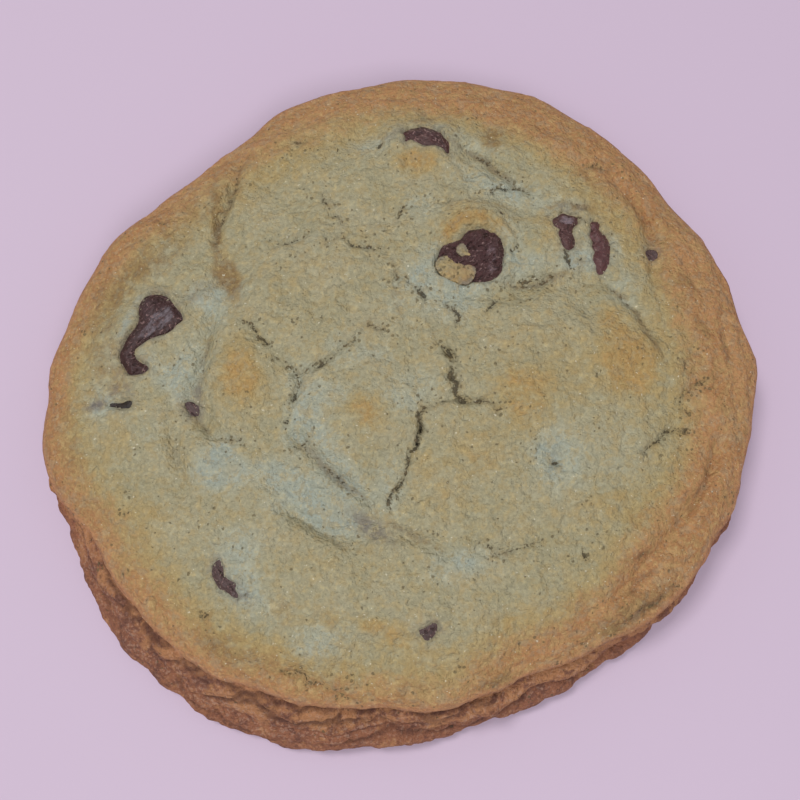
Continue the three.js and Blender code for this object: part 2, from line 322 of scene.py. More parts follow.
@dataclass
class CrustForm:
    """The cookie's main form, in millimetres: a dome with a rolled edge on a stepped foot."""

    dome_height: float = 15.2
    edge_height: float = 8.6
    dome_flatness: float = 2.6
    dome_shoulder: float = 0.62
    lump_height: float = 0.35
    smooth_rim: float = 0.12
    fold_fall: float = 2.5
    layer_roughness: float = 0.6
    layer_wander: float = 0.8
    # Waves of the edge's radius and of its height: height, count round the turn, phase
    edge_ripple: Sequence[tuple[float, float, float]] = ((0.22, 17, 0.8), (0.14, 29, 0))
    edge_rise: Sequence[tuple[float, float, float]] = ((0.45, 3, 1), (0.3, 8, 0))
    edge_radii: Sequence[float] = (
        53.5, 53.5, 52.5, 52.5, 53, 53, 52, 50.5, 48, 47, 49.5, 52,
        53, 53.5, 50, 50, 49, 47.5, 46, 45.5, 46.5, 49.5, 51.5, 52.5,
    )
    # By bearing in degrees: the foot's reach, small changes of the edge and the foot, and how deep the
    # grooves of the wall are
    foot_reach: Sequence[tuple[float, float]] = (
        (0, 0), (30, -1), (165, -1), (185, 0.8), (200, 1.3), (212, 4.6), (222, 6), (262, 6.4),
        (280, 4.3), (298, 3.6), (312, 1.2), (335, 1), (360, 0),
    )
    edge_trim: Sequence[tuple[float, float]] = (
        (0, -0.3), (12, -1.0), (20, -0.7), (35, -0.5), (50, -0.3), (60, -0.1), (78, -0.1), (92, -0.7),
        (103, -0.8), (115, 0.2), (127, -0.6), (136, -0.3), (147, -0.6), (156, -0.1), (169, -0.9),
        (180, -0.1), (187, -0.4), (198, -0.2), (265, 0), (274, 1.2), (279, 1.1), (285, 0.8),
        (294, -0.1), (320, -0.2), (328, -0.6), (345, -0.6), (360, -0.3),
    )
    foot_trim: Sequence[tuple[float, float]] = (
        (0, 0), (190, 0), (212, 0.3), (226, -0.4), (233, -0.7), (243, 0.4), (254, -0.1), (263, -0.9),
        (271, -0.6), (279, -0.7), (285, 0.1), (296, 0.2), (303, 0), (310, 0.9), (318, 0), (360, 0),
    )
    groove_opening: Sequence[tuple[float, float]] = (
        (0, 0.5), (55, 0.2), (105, 0.7), (150, 0.3), (200, 0.8), (240, 0.6), (285, 1.4),
        (300, 1.4), (318, 0.7), (360, 0.5),
    )
    # Height, offset from the edge and share of the foot's reach, from the edge down
    wall_steps: Sequence[tuple[float, float, float]] = (
        (8.6, 0, 0), (7.7, -0.45, 0), (6.9, -1.1, 0.12), (6.1, -0.3, 0.38), (5.1, -0.1, 0.58),
        (4.3, -0.8, 0.64), (3.3, -0.1, 0.92), (2.3, 0, 1), (0.9, -0.5, 1), (0, -2.2, 1),
    )
    bulges: Sequence[Mound] = mounds(
        (-13, 10, 13, 10, 20, 0.9), (21, 2, 15, 14, 0, 1.1), (-5, -5.5, 8, 7, -40, 1.5),
        (19, -3.5, 4, 3, 0, 0.3), (8, -11, 6, 4, 80, 0.4), (-23, 0, 4.5, 7, 0, 1), (34, 3.5, 5, 5, 0, 0.5),
        (10.5, 23.5, 5.5, 3.5, -10, 1.5), (3, 36, 6, 3.5, 0, 1), (22, 21.5, 4, 3, 0, 0.8),
        (-37, 9, 7, 5, 50, 0.6), (-12, -19, 7.5, 3, -35, -1.4), (22, -13, 3, 3, 0, -0.5),
        (-25.5, 15, 2.6, 4, 0, -1), (16, 12.5, 9, 2.2, 5, -1.1), (28, 11, 3.5, 5, 30, -0.7),
        (-29.5, -7, 3.5, 5, -20, -0.7), (-14, -34, 16, 6, -5, 0.6), (15, -33, 16, 6, 10, 0.6),
        (-30, 27, 8, 4, 50, 0.5),
    )
    folds: Sequence[Groove] = (
        Groove(2.2, 0.9, ((-14.5, -9), (-11.5, -13), (-8, -16), (-5, -18.5))),
        Groove(1.8, 0.8, ((-15.5, -20), (-9.5, -23), (-0.5, -23), (6.5, -25.5))),
        Groove(2.4, 0.8, ((27.5, 15), (32, 13), (35, 10.5), (39.5, 4))),
        Groove(2, 0.8, ((7.5, 35.5), (12.5, 35), (15, 32), (19.5, 30))),
        Groove(2, 0.9, ((34, 32.5), (38.5, 24.5), (38, 19.5), (39, 14.5))),
        Groove(1.8, 0.8, ((-26, 36), (-26, 30.5), (-28, 21.5))),
        Groove(2, 0.9, ((-27.5, 8), (-29, -0.5), (-30, -5), (-24, -10.5))),
        Groove(1.8, 0.6, ((-32.5, -9), (-31.5, -13.5), (-30.5, -17))),
        Groove(1.6, 0.9, ((46.5, -9.5), (44.5, -15), (39, -22), (34.5, -27), (30, -31.5))),
        Groove(1.6, 0.8, ((-19, -41), (-14, -41.5), (-10, -44), (-6.5, -45.5))),
    )

    def edge_radius(self, bearing: Points) -> Points:
        """Radius of the crust's edge.

        Args:
            bearing: in degrees.

        Returns:
            The radius at each bearing.
        """
        ripple = waves(self.edge_ripple, np.radians(bearing))
        trim = step_curve(self.edge_trim, np.mod(bearing, 360))
        return round_curve(self.edge_radii, bearing) + ripple + trim

    def edge_level(self, bearing: Points) -> Points:
        """Height of the crust's edge at a bearing in degrees."""
        return self.edge_height + waves(self.edge_rise, np.radians(bearing))

    @staticmethod
    def lumps(x: Points, y: Points, z: Points | float = 0.0) -> Points:
        """Uneven bread-like lumps a few millimetres across, from -1 to 1.

        Args:
            x: the points' first coordinates.
            y: the points' second coordinates.
            z: the points' third coordinates.

        Returns:
            The height of the lumps at each point.
        """
        broad = np.sin(0.41 * x + 0.17 * y + 1.3) * np.sin(0.33 * y - 0.21 * x + 0.5 * z)
        fine = np.sin(0.83 * x - 0.49 * y + 2.1 + 0.6 * z) * np.sin(0.71 * y + 0.58 * x + 0.4)
        return 0.6 * broad + 0.4 * fine

    def top_height(self, x: Points, y: Points) -> Points:
        """Height of the crust without its cracks and its fine relief.

        Args:
            x: the points' first coordinates.
            y: the points' second coordinates.

        Returns:
            The height at each point.
        """
        bearing = np.degrees(np.arctan2(y, x))
        share = np.minimum(1, np.hypot(x, y) / self.edge_radius(bearing))
        edge = self.edge_level(bearing)
        dome = (1 - share**self.dome_flatness) ** self.dome_shoulder
        relief = self.lump_height * self.lumps(x, y)
        for mound in self.bulges:
            relief += mound.rise * mound.spread(x, y)
        for fold in self.folds:
            distance = nearest_on_route(fold.route, x, y).distance
            relief -= fold.depth * np.exp(-self.fold_fall * (distance / fold.width) ** 2)
        return edge + (self.dome_height - edge) * dome + smooth((1 - share) / self.smooth_rim) * relief

    def wall_place(self, bearing: Points, step: Points) -> tuple[Points, Points]:
        """Radius and height of the wall.

        Args:
            bearing: in degrees.
            step: the place among wall_steps, from 0 at the edge to the last at the underside.

        Returns:
            The radius and the height.
        """
        steps = np.asarray(self.wall_steps, float)
        padded = np.vstack([2 * steps[0] - steps[1], steps, 2 * steps[-1] - steps[-2]])
        last = len(steps) - 1
        start = np.minimum(np.floor(step).astype(int), last - 1)
        curve = curve_between([padded[start + shift] for shift in range(4)], (step - start)[:, None])
        height, offset, foot_share = np.maximum(curve[:, 0], 0), curve[:, 1], curve[:, 2]
        angle, turn = np.radians(bearing), np.mod(bearing, 360)
        rest = smooth(step - last + 1)
        opening = step_curve(self.groove_opening, turn)
        rough = self.lumps(50 * np.cos(angle), 50 * np.sin(angle), 1.7 * height)
        loose = np.minimum(1, step / 0.8) * (1 - rest)
        reach = step_curve(self.foot_reach, turn) + step_curve(self.foot_trim, turn)
        radius = self.edge_radius(bearing) + foot_share * reach
        radius += offset * (opening * (1 - rest) + rest) + self.layer_roughness * rough * loose
        wander = 0.6 * np.sin(5 * angle + 0.5 * step) + 0.4 * np.sin(11 * angle - 0.8 * step)
        fade = np.minimum(1, height / 3) * np.minimum(1, step / 3)
        lift = (self.edge_level(bearing) - self.edge_height) * height / self.edge_height
        return radius, np.where(step >= last, 0, height + lift + self.layer_wander * fade * wander)


FORM = CrustForm()

# Cracks that the crust opened along
CRACKS = (
    Groove(0.35, 0.45, ((-19.6, 19.3), (-18.2, 19.8), (-16.6, 20.2), (-14.1, 21.2), (-12.7, 21.9)), 0.62),
    Groove(0.25, 0.3, ((-12.3, 28.5), (-11.6, 27.4), (-10.4, 26.3)), 0.7),
    Groove(0.25, 0.3, ((-11.1, 24.1), (-10.6, 24.8), (-9.5, 24.6), (-8.5, 23.1)), 0.7),
    Groove(0.25, 0.4, ((-9.4, 20.6), (-7.3, 19.6), (-4.7, 18.9), (-2.4, 18.9)), 0.75),
    Groove(0.3, 0.3, ((-11.3, 21.6), (-11, 19.6), (-9.6, 20.4)), 0.55),
    Groove(0.5, 0.4, ((-2.4, 18.7), (-0.8, 15.4), (-0.5, 11.8)), 0.5),
    Groove(0.45, 0.45, ((-0.6, 14.9), (1, 13.4), (2.9, 12.5), (3.7, 11)), 0.7),
    Groove(0.35, 0.3, ((3.7, 11), (4.4, 7.5), (5.4, 4.2)), 0.45),
    Groove(0.3, 0.35, ((6.8, 9.9), (8.2, 8.3), (8, 6.5)), 0.9),
    Groove(0.5, 0.7, ((5.7, 3.9), (6.6, 3.2), (7.6, 2.1), (8.2, 1)), 0.8),
    Groove(0.45, 0.7, ((7.5, 0.5), (6.8, -0.7), (7.7, -1.8), (8, -3.2), (8.8, -4.6)), 1.0),
    Groove(0.5, 0.7, ((8.8, -4.6), (10.7, -4.9), (12.3, -4.6), (13.7, -6.3)), 0.8),
    Groove(0.35, 0.4, ((8.4, -4.2), (6.3, -4.8), (5.3, -4.9), (3.6, -5.6)), 0.6),
    Groove(0.25, 0.7, ((3.5, -5.6), (2.9, -7.1), (2.9, -8.8), (2.5, -10.1), (1.7, -11.5),
        (1.2, -13)), 0.95),
    Groove(0.25, 0.5, ((1.2, -13), (0.4, -15.7), (-1.2, -17.4), (-1.5, -18.7), (-1.2, -20)), 0.85),
    Groove(0.35, 0.5, ((-23, 7.6), (-21.3, 6.3), (-20, 4.9), (-18.9, 3.9)), 0.82),
    Groove(0.3, 0.3, ((-5.7, 5.7), (-3.2, 6.8), (-1.5, 5.6)), 0.6),
    Groove(0.4, 0.7, ((-15.4, -0.6), (-12.5, 0.2), (-10, 1.6), (-8.4, 2.8), (-6.5, 4.2)), 0.68),
    Groove(0.5, 0.6, ((-18.1, 2.1), (-15.9, 1), (-14.9, -1.1), (-15, -3.9), (-15.7, -6.1),
        (-16.1, -7.6)), 0.62),
    Groove(0.35, 0.4, ((8.3, -23.6), (11, -24.4), (13.4, -25.8), (14.8, -25), (17.8, -24.7),
        (21.1, -23.4)), 0.6),
    Groove(0.35, 0.5, ((34.3, -11.7), (36.5, -10), (37.6, -8.3), (39.7, -7.7), (41.5, -8.6)), 0.85),
    Groove(0.3, 0.4, ((46.3, 0), (43.5, -1.2), (41.1, -2.7), (40.3, -5.2), (41.6, -5.8)), 0.7),
    Groove(0.3, 0.35, ((14.4, 10.8), (13.4, 9.8), (12.6, 8.8)), 1.0),
    Groove(0.3, 0.4, ((24.5, 18.6), (24.7, 17.4), (25.4, 16.2)), 1.1),
    Groove(0.3, 0.25, ((15.2, 14.4), (16.5, 14.1), (18.4, 14), (21.3, 14.6), (23.3, 15.2)), 0.75),
    Groove(0.25, 0.3, ((2.6, 12.6), (3.9, 11)), 0.9),
    Groove(0.25, 0.3, ((42.8, 3.2), (41.7, 1.4), (41.6, 0.4)), 0.6),
    Groove(0.25, 0.3, ((-17.8, -41.2), (-15.1, -41.7), (-13.4, -41.4), (-9.8, -43.9), (-6.5, -45.4)), 0.6),
    Groove(0.2, 0.3, ((-26.9, -34.4), (-25.9, -33.9)), 0.75),
    Groove(0.25, 0.35, ((8.1, 29.4), (7.7, 28), (6.9, 26.7), (4, 26.4)), 0.5),
    Groove(0.25, 0.35, ((13.6, 28.2), (15.3, 29.4), (16.7, 29.7), (19.7, 29.5)), 0.8),
    Groove(0.25, 0.3, ((0.5, 26), (-0.3, 25), (-0.2, 24)), 0.9),
    Groove(0.25, 0.3, ((-16.6, 38.2), (-15, 37.8)), 0.8),
    Groove(0.3, 0.3, ((29, 33.7), (30.9, 34.9), (31.9, 33.7)), 0.7),
    Groove(0.25, 0.3, ((25.1, -25.3), (25.7, -26.2), (25.9, -27)), 0.85),
    Groove(0.25, 0.3, ((-15, -11.9), (-13.9, -9.8), (-12.4, -9.4)), 0.6),
    Groove(0.25, 0.3, ((4.7, -28.4), (5.7, -27.5)), 0.6),
    Groove(0.3, 0.3, ((-26.1, -9.7), (-23.6, -9.9), (-22.4, -10)), 0.75),
)

# Valleys between the puffed plates, with painted shade but not open
CREASES = (
    Groove(0.9, 0.6, ((-15, -9.6), (-12.1, -12.3), (-8.5, -15.5), (-5, -18.5), (-2.6, -21)), 0.85),
    Groove(0.8, 0.4, ((-15.5, -20), (-9.6, -23.6), (-6.9, -25.2), (-2.8, -25.7)), 0.4),
    Groove(0.8, 0.3, ((-3.4, -20.9), (-0.1, -22.5), (3.4, -24.1), (5.6, -25.8), (7.5, -26)), 0.6),
    Groove(0.9, 0.5, ((28.6, 16), (31.5, 13.4), (34.8, 9.5), (35.6, 7.5), (37.3, 4.1), (38.6, 1)), 0.85),
    Groove(0.9, 0.5, ((14.8, 14.1), (16.7, 12.9), (19.5, 13.2), (21.6, 14.2), (25, 15.6)), 0.9),
    Groove(0.8, 0.6, ((7.9, 37.7), (10.1, 36.4), (13.6, 34.8), (14.4, 33.2), (18.1, 30.1),
        (20.3, 30.2)), 1.0),
    Groove(0.8, 0.6, ((35.8, 30.8), (36, 29), (38.2, 24.6), (39.2, 22.2)), 0.6),
    Groove(0.7, 0.4, ((38.1, 19.1), (37.8, 16.6), (38.1, 13.5), (38.8, 10.4)), 0.4),
    Groove(0.8, 0.6, ((-23.4, 36.8), (-25.2, 34.2), (-25.7, 27.9), (-27.7, 23.4), (-28.1, 18.1)), 0.8),
    Groove(0.8, 0.5, ((-27.8, 9.1), (-27.7, 5.9), (-28.3, 3.3), (-29, -1.1), (-29.2, -3.4)), 0.75),
    Groove(0.7, 0.5, ((-29.5, -5.6), (-28.2, -7.5), (-26.1, -9.7)), 0.65),
    Groove(0.6, 0.35, ((-32.6, -9.1), (-31.8, -12), (-30.8, -14.7), (-30.2, -16.7)), 0.45),
    Groove(0.7, 0.5, ((46, -8.7), (45.5, -11.3), (43.6, -16), (40.4, -20.1), (36.8, -23.6)), 0.6),
    Groove(0.5, 0.35, ((31.8, -26.8), (34.4, -25.2), (36.2, -25.3)), 0.7),
    Groove(0.5, 0.35, ((36.4, -27), (34.8, -28.5), (31.2, -31.4)), 0.7),
    Groove(0.5, 0.4, ((47, 8.8), (48.4, 5.3), (48.4, 3.1), (47.7, 0.8)), 0.6),
    Groove(0.5, 0.3, ((11.5, 28), (13.6, 26.2), (18.5, 26), (20.3, 24.9)), 0.35),
    Groove(0.6, 0.3, ((21.9, 23.4), (22.8, 25.6), (25.1, 27.3), (28.4, 26.5), (31.1, 24.8)), 0.4),
    Groove(0.6, 0.5, ((40.3, -28.9), (38.1, -30.6), (35.4, -32.3), (32.8, -34.3), (30, -35.9)), 0.8),
    Groove(0.5, 0.3, ((-32.1, 10.9), (-29.9, 13.1), (-26.8, 13.2)), 0.5),
    Groove(0.5, 0.3, ((2.9, 43.7), (4.3, 42.2)), 0.8),
)

# Folds of the wall, with painted shade along them, the first being the painted shadow under the crust's lip:
# their routes are bearings in degrees and places among the wall's steps
WALL_SEAMS = (
    Groove(0.4, 0.6, ((198, 2.4), (222, 2.4), (246, 2.5), (262, 2.4), (285, 2.7), (292, 2.3),
        (312, 2.4)), 1.0),
    Groove(0.35, 0.5, ((203, 3.7), (212, 4), (218, 3.4), (224, 2.6)), 0.9),
    Groove(0.35, 0.4, ((224, 3), (230, 3.6), (233, 2.8), (238, 2.9)), 0.9),
    Groove(0.4, 0.6, ((228, 4), (234, 5.3), (241, 3.4), (246, 2.9), (250, 3.8), (256, 3.5),
        (260, 2.9)), 1.0),
    Groove(0.35, 0.5, ((258, 3.3), (267, 3.6), (271, 3.9), (275, 3.2), (282, 3.1)), 0.9),
    Groove(0.35, 0.5, ((210, 5.4), (220, 6), (227, 6.5), (234, 5.9), (240, 6.2), (252, 6.5),
        (262, 6)), 0.8),
    Groove(0.35, 0.5, ((262, 6), (271, 5.6), (279, 6.6), (286, 5.9), (291, 5.6), (296, 4),
        (301, 5.4)), 0.9),
    Groove(0.35, 0.4, ((312, 2.4), (335, 2), (360, 2.6)), 0.5),
    Groove(0.35, 0.4, ((0, 2.6), (25, 2), (60, 2.6), (95, 2.1), (130, 2.7), (165, 2.2), (198, 2.4)), 0.5),
    Groove(0.35, 0.5, ((0, 4.6), (22, 5.3), (48, 4.4), (80, 5.2), (110, 4.6), (140, 5.4), (175, 4.7),
        (203, 5.2)), 0.7),
    Groove(0.35, 0.4, ((300, 5.2), (318, 4.4), (340, 5), (360, 4.6)), 0.7),
    Groove(0.35, 0.4, ((6, 6.8), (36, 6.3), (70, 7), (100, 6.4), (128, 6.9), (160, 6.3), (190, 6.8)), 0.6),
)
DEGREE_WIDTH = 0.87
STEP_WIDTH = 1.15

# Small pits, sunk into the crust and given painted shade through the crack mask
PITS = mounds(
    (7.1, 2.5, 1.4, 0.65, -48, 0.8), (7.2, -1.2, 0.9, 0.5, -60, 0.6), (9, -4.5, 1.0, 0.6, -20, 0.6),
    (2.9, -8.6, 0.35, 0.8, 5, 1.1), (21.8, -13.2, 0.5, 0.35, 15, 0.8), (16.6, 18.7, 0.4, 0.35, 0, 0.5),
    (-15, -4.1, 0.4, 0.7, -15, 0.5), (-16, -7.4, 0.35, 0.6, -15, 0.5), (-11.3, 0.4, 0.8, 0.35, 25, 0.5),
    (-19.2, 4, 0.6, 0.4, -35, 0.5), (17.4, 19.4, 0.45, 0.35, 0, 0.5), (15.2, 24.5, 0.5, 0.25, -25, 0.4),
    (3.5, 44.8, 0.35, 0.3, 0, 0.4), (27.3, 24.8, 0.35, 0.35, 0, 0.5), (27, 17.7, 0.5, 0.25, 60, 0.4),
    (-3.1, 36.9, 0.7, 0.35, 50, 0.5), (-9.7, 36.2, 0.5, 0.25, -70, 0.4), (41.2, -8.2, 0.5, 0.3, -70, 0.4),
)

# Browned and pale places of the crust
GOLDEN = mounds(
    (-23, 0.8, 3.6, 5, 0, 0.95), (-21.5, -4, 4.5, 4.5, 0, 0.5), (-4.9, -6.2, 3.6, 3, -30, 0.9),
    (17.4, -3.4, 4.6, 3.4, 0, 0.75), (21, 2, 10, 7, 0, 0.4), (33.3, 3, 4.6, 5.6, 0, 0.85),
    (29, -2, 9, 6, 0, 0.3), (9.8, 24.8, 3, 1.7, 0, 0.7), (21.8, 22, 2, 3.2, 15, 0.7),
    (2.5, 34.4, 4.4, 2, 0, 0.9), (35, 24.5, 3.2, 6.5, 15, 0.85), (29, 28, 6, 3, -30, 0.45),
    (10.6, -11.6, 5, 4.5, 0, 0.6), (5.5, -18.5, 5, 3, 0, 0.4), (12, -21, 6, 2.2, 0, 0.25),
    (-17, 13, 6, 5.5, 0, 0.35), (-6.5, 20, 3.5, 2.5, 0, 0.3), (-27, 20, 1.5, 6, 10, 0.5),
    (-20, 35, 6, 4, 25, 0.7), (-14, 33, 9, 4, 20, 0.3), (-22, -38, 8, 2.8, -25, 0.75),
    (-33, -31, 8, 3.2, -48, 0.5), (-1.5, -35.9, 4, 1.7, -20, 0.5), (-38, -18, 4, 8, 15, 0.35),
    (13, 44, 8, 2, -15, 0.4), (24, -22, 8, 5, 30, 0.3), (38, -4, 5, 8, 0, 0.45), (14, -34, 9, 4, 10, 0.3),
    (-8, -27, 8, 3, 0, 0.25), (-38, 22, 9, 2.6, 50, 0.25), (-4.1, -35.2, 1.6, 1.1, 0, 0.7),
    (-7.3, -40.6, 2.2, 1.2, -20, 0.7), (-2, -43.5, 2.4, 1, -10, 0.5), (15.5, -34.6, 1.5, 0.9, 20, 0.6),
    (20.5, -37, 2.4, 1.1, 25, 0.5), (-25.8, -38.2, 3.4, 1.8, -35, 0.7), (-33.6, -20.1, 2, 1.4, 0, 0.4),
    (31, -18.7, 4.6, 3, 20, 0.6), (-1.4, -36.9, 2.6, 1.7, 0, 0.5), (-15, -39.6, 4, 1.6, -20, 0.8),
    (17.6, -7.2, 4, 2.5, 0, 0.6), (31, 9, 3.6, 2.4, 0, 0.55), (15.6, 38.2, 3, 2, 0, 0.6),
    (34.4, 24, 2.2, 3, 15, 0.7), (-9.5, -35.1, 3, 2, 0, 0.6), (1.4, -38.9, 4, 1.6, 0, 0.7),
    (3, 32.4, 4.4, 1.6, 0, 0.4), (-47.7, -9, 2.4, 6, 12, 0.5), (0.4, 13, 1.6, 2.4, 0, 0.4),
    (4, -13.2, 2.6, 2.2, 0, 0.6), (-40.8, -9.9, 3, 4, 0, 0.4),
)
PALE = mounds(
    (27.3, 16.5, 2.4, 0.6, 3, 1.0), (4, 13.5, 3.4, 2, 0, 0.4), (10, 11.5, 4, 2, 0, 0.6),
    (-13.8, -3, 2.4, 5, 15, 0.9), (-11, -10.5, 5.5, 2.8, -50, 0.85), (-12, -18, 6.8, 3.1, -35, 1.0),
    (-25.9, -13, 3.4, 2.9, 0, 1.0), (-21.5, -29.5, 6.2, 2.6, -55, 0.9), (-30.5, 0.5, 3, 5, 0, 0.85),
    (-27.5, 12, 4.6, 2.4, 0, 0.9), (-43.3, -4.5, 3.1, 2, 0, 1.0), (6.8, -27.5, 3.8, 3, 0, 0.6),
    (22, -12.6, 3.8, 5, 0, 1.0), (1.5, -2.5, 5.5, 2.6, 10, 0.7), (5.5, 15.5, 4, 4.4, 0, 0.75),
    (15, 15.8, 8, 2.5, 8, 0.9), (27, 17.6, 3.6, 2.4, 0, 1.0), (13, 30.5, 6.5, 2.7, -25, 0.8),
    (3.4, 26, 3, 3, 0, 0.65), (-4.5, 37, 3.4, 1.7, 15, 0.9), (-11, -37.5, 4.8, 3, 0, 0.7),
    (-8, 3, 4.2, 2.6, 30, 0.55), (-1.5, -17, 2.6, 5.5, -10, 0.6), (12, 37, 4.8, 2, -15, 0.55),
    (19.5, 29, 4.4, 3, 0, 0.55), (38.6, 21, 1.4, 3.4, 0, 0.7), (1, 12, 6, 4, 60, 0.45),
    (-31, 26.5, 8.5, 1.9, 49, 0.95), (30, -12, 6, 5, 0, 0.3), (45.6, -14.5, 1.1, 4, -22, 0.8),
    (2, 40.8, 6, 1, -5, 0.6), (33.5, 13, 2.5, 4, -30, 0.55), (-40, 8.5, 0.8, 4.5, -20, 0.9),
    (16.5, 21, 2.4, 4, 0, 0.5), (-34, -9, 5, 4, 0, 0.3), (-14, 20.5, 5, 2, 0, 0.35),
    (42.5, 8.5, 2, 3, 20, 0.45), (24, 26.5, 4, 1.4, 10, 0.5), (-7.5, -16, 4, 2.2, -45, 0.9),
    (-9.5, -21.3, 4.4, 2, -25, 0.9), (-24, -15, 4.5, 2.6, 0, 0.9), (-15, -9.5, 2.2, 3, 0, 0.6),
    (-16.7, -15.3, 3, 2, -30, 0.8), (-21.1, -24, 3.6, 2.6, 0, 0.8), (-45.5, -3, 2.6, 2, 0, 0.8),
    (-36.5, 2.4, 1.8, 1.4, 0, 0.8), (-27.3, 8.3, 2.4, 2.6, 0, 0.7), (-9.9, -3.3, 3, 2, 0, 0.5),
    (10.8, -26.9, 3.4, 2, 10, 0.6), (-23, -28.4, 2.4, 3, -50, 0.6), (-34.4, -0.3, 2.6, 2, 0, 0.7),
    (-3.3, 1.7, 3, 2, 20, 0.55), (-17.8, -19.4, 2.6, 1.8, -30, 0.6), (7.4, 8.8, 4, 2, 0, 0.65),
    (-31.2, -2.6, 1.6, 2, 0, 0.6), (-24.2, -10.1, 2, 1.5, 0, 0.6), (1.3, -5.5, 2.4, 1.6, 0, 0.5),
    (-10.1, -4.9, 2.4, 2, 0, 0.4), (36.8, 18.4, 1.6, 2.6, 0, 0.6), (32.4, 19.2, 1.2, 2.6, 0, 0.6),
    (28.1, 21.4, 0.8, 2, 0, 0.5), (20.7, -12.2, 2, 1.6, 0, 0.7),
)
BROWNED = mounds(
    (3.4, 42, 5, 1.2, -8, 0.5), (14.4, 37.8, 2, 3, 15, 0.6), (30.5, 34, 3, 1.4, 20, 0.5),
    (43, 14.8, 2.6, 1.4, 0, 0.6), (44.3, 7.6, 1.4, 2.6, 30, 0.5), (-24.8, 14, 4, 1.4, -72, 1.0),
    (-26.8, 15.8, 3, 1.8, 80, 0.75), (-24.5, -38.6, 4.5, 2, -35, 0.6), (-31, 28, 15, 5, 48, 0.35),
    (-44.5, 7, 4, 10, 12, 0.55), (-40.5, 15.5, 6, 2.6, 52, 0.6), (-27.9, 20.5, 3, 0.8, 95, 0.7),
    (13.6, -25.7, 1.8, 0.8, 0, 0.5), (26, 26.4, 4.5, 0.7, 5, 0.45), (-28, 26, 0.7, 6, 8, 0.5),
    (-40.2, -2, 1.2, 2, 15, 0.25), (33, -21, 4, 2, 40, 0.25), (-0.4, 11, 1.2, 4.5, 8, 0.5),
    (-20, -39, 6, 1.6, -25, 0.4), (38, -29, 5, 2.4, 45, 0.45), (29.5, -36, 7, 2.6, 38, 0.7),
    (14.4, -42.6, 5, 1.4, 15, 0.7), (-16.3, -33.7, 3.5, 2.4, 0, 0.3), (-9.4, -35.2, 3, 1.8, 0, 0.3),
    (34.6, 24, 1.6, 2.6, 15, 0.3), (30, 30, 7, 1.2, -40, 0.3), (-47.5, -8, 3, 7, 12, 0.4),
    (-34.5, 18.5, 4, 1.8, 55, 0.4), (15.8, 39.8, 2.6, 1.4, 0, 0.4), (1.4, -39.7, 3, 1.4, 0, 0.35),
    (1.1, -44.3, 4, 1.6, 0, 0.4),
)

# Chocolate smeared thinly over the crust
SMEARS = mounds(
    (-44, -4.4, 1.8, 0.8, 5, 1.0), (-38.8, -2.6, 1.2, 0.6, -40, 0.7), (-29.3, -3, 0.7, 1.4, -10, 0.9),
    (-20.9, -31.6, 1.5, 0.8, -35, 0.8), (26, 26.2, 3, 0.9, 0, 0.6), (22.9, 24.6, 0.8, 1.4, 20, 0.6),
    (38.2, 20.2, 1.1, 2.6, -10, 0.45), (3.7, -36.6, 1.4, 0.9, 0, 0.6), (-1.4, 38.3, 1.4, 0.9, 30, 0.6),
    (27.5, 17.2, 1.6, 0.6, 10, 0.5), (22, -12.8, 1, 1.6, 0, 0.3), (-4.3, -22.2, 3.6, 1.4, -32, 0.85),
    (-30.3, 12.2, 3, 1.5, 35, 0.4), (-40.9, -2.4, 1.8, 1, 30, 0.6),
)


def select_none() -> None:
    """Deselects every object."""
    bpy.ops.object.select_all(action="DESELECT")


def in_edit_mode(piece: bpy.types.Object, kind: str) -> None:
    """Opens a piece for editing with nothing selected.

    Args:
        piece: the piece to edit.
        kind: VERT, EDGE or FACE.
    """
    select_none()
    piece.select_set(True)
    bpy.context.view_layer.objects.active = piece
    bpy.ops.object.mode_set(mode="EDIT")
    bpy.ops.mesh.select_mode(type=kind)
    bpy.ops.mesh.select_all(action="DESELECT")


def apply_modifier(piece: bpy.types.Object, kind: str, **settings: object) -> None:
    """Adds a modifier to a piece and applies it.

    Args:
        piece: the piece to change.
        kind: the modifier's type.
        settings: the modifier's settings by name.
    """
    modifier = piece.modifiers.new(kind.title(), kind)
    for name, value in settings.items():
        setattr(modifier, name, value)
    select_none()
    piece.select_set(True)
    bpy.context.view_layer.objects.active = piece
    bpy.ops.object.modifier_apply(modifier=modifier.name)


def read_points(piece: bpy.types.Object) -> Points:
    """Reads a piece's vertices.

    Args:
        piece: the piece to read.

    Returns:
        An array of shape (n, 3).
    """
    places = np.empty(len(piece.data.vertices) * 3)
    piece.data.vertices.foreach_get("co", places)
    return places.reshape(-1, 3)


def write_points(piece: bpy.types.Object, places: Points) -> None:
    """Moves a piece's vertices to an array of places."""
    piece.data.vertices.foreach_set("co", np.ascontiguousarray(places, np.float32).ravel())
    piece.data.update()


def write_attribute(piece: bpy.types.Object, name: str, values: Points) -> None:
    """Stores one number for each vertex of a piece under a name."""
    layer = piece.data.attributes.new(name, "FLOAT", "POINT")
    layer.data.foreach_set("value", np.ascontiguousarray(values, np.float32))


def face_outwards(piece: bpy.types.Object) -> None:
    """Turns a closed piece's faces outwards and shades it smooth.

    Args:
        piece: the piece to change.
    """
    in_edit_mode(piece, "FACE")
    bpy.ops.mesh.select_all(action="SELECT")
    bpy.ops.mesh.normals_make_consistent(inside=False)
    bpy.ops.object.mode_set(mode="OBJECT")
    bpy.ops.object.shade_smooth()


def linear(red: float, green: float, blue: float) -> tuple[float, float, float, float]:
    """A colour seen as 0 to 255 numbers, as the shader's linear light.

    Args:
        red: the red part.
        green: the green part.
        blue: the blue part.

    Returns:
        The linear colour with full opacity.
    """
    shares = (value / 255 for value in (red, green, blue))
    light = [s / 12.92 if s <= 0.04045 else ((s + 0.055) / 1.055) ** 2.4 for s in shares]
    return (*light, 1.0)


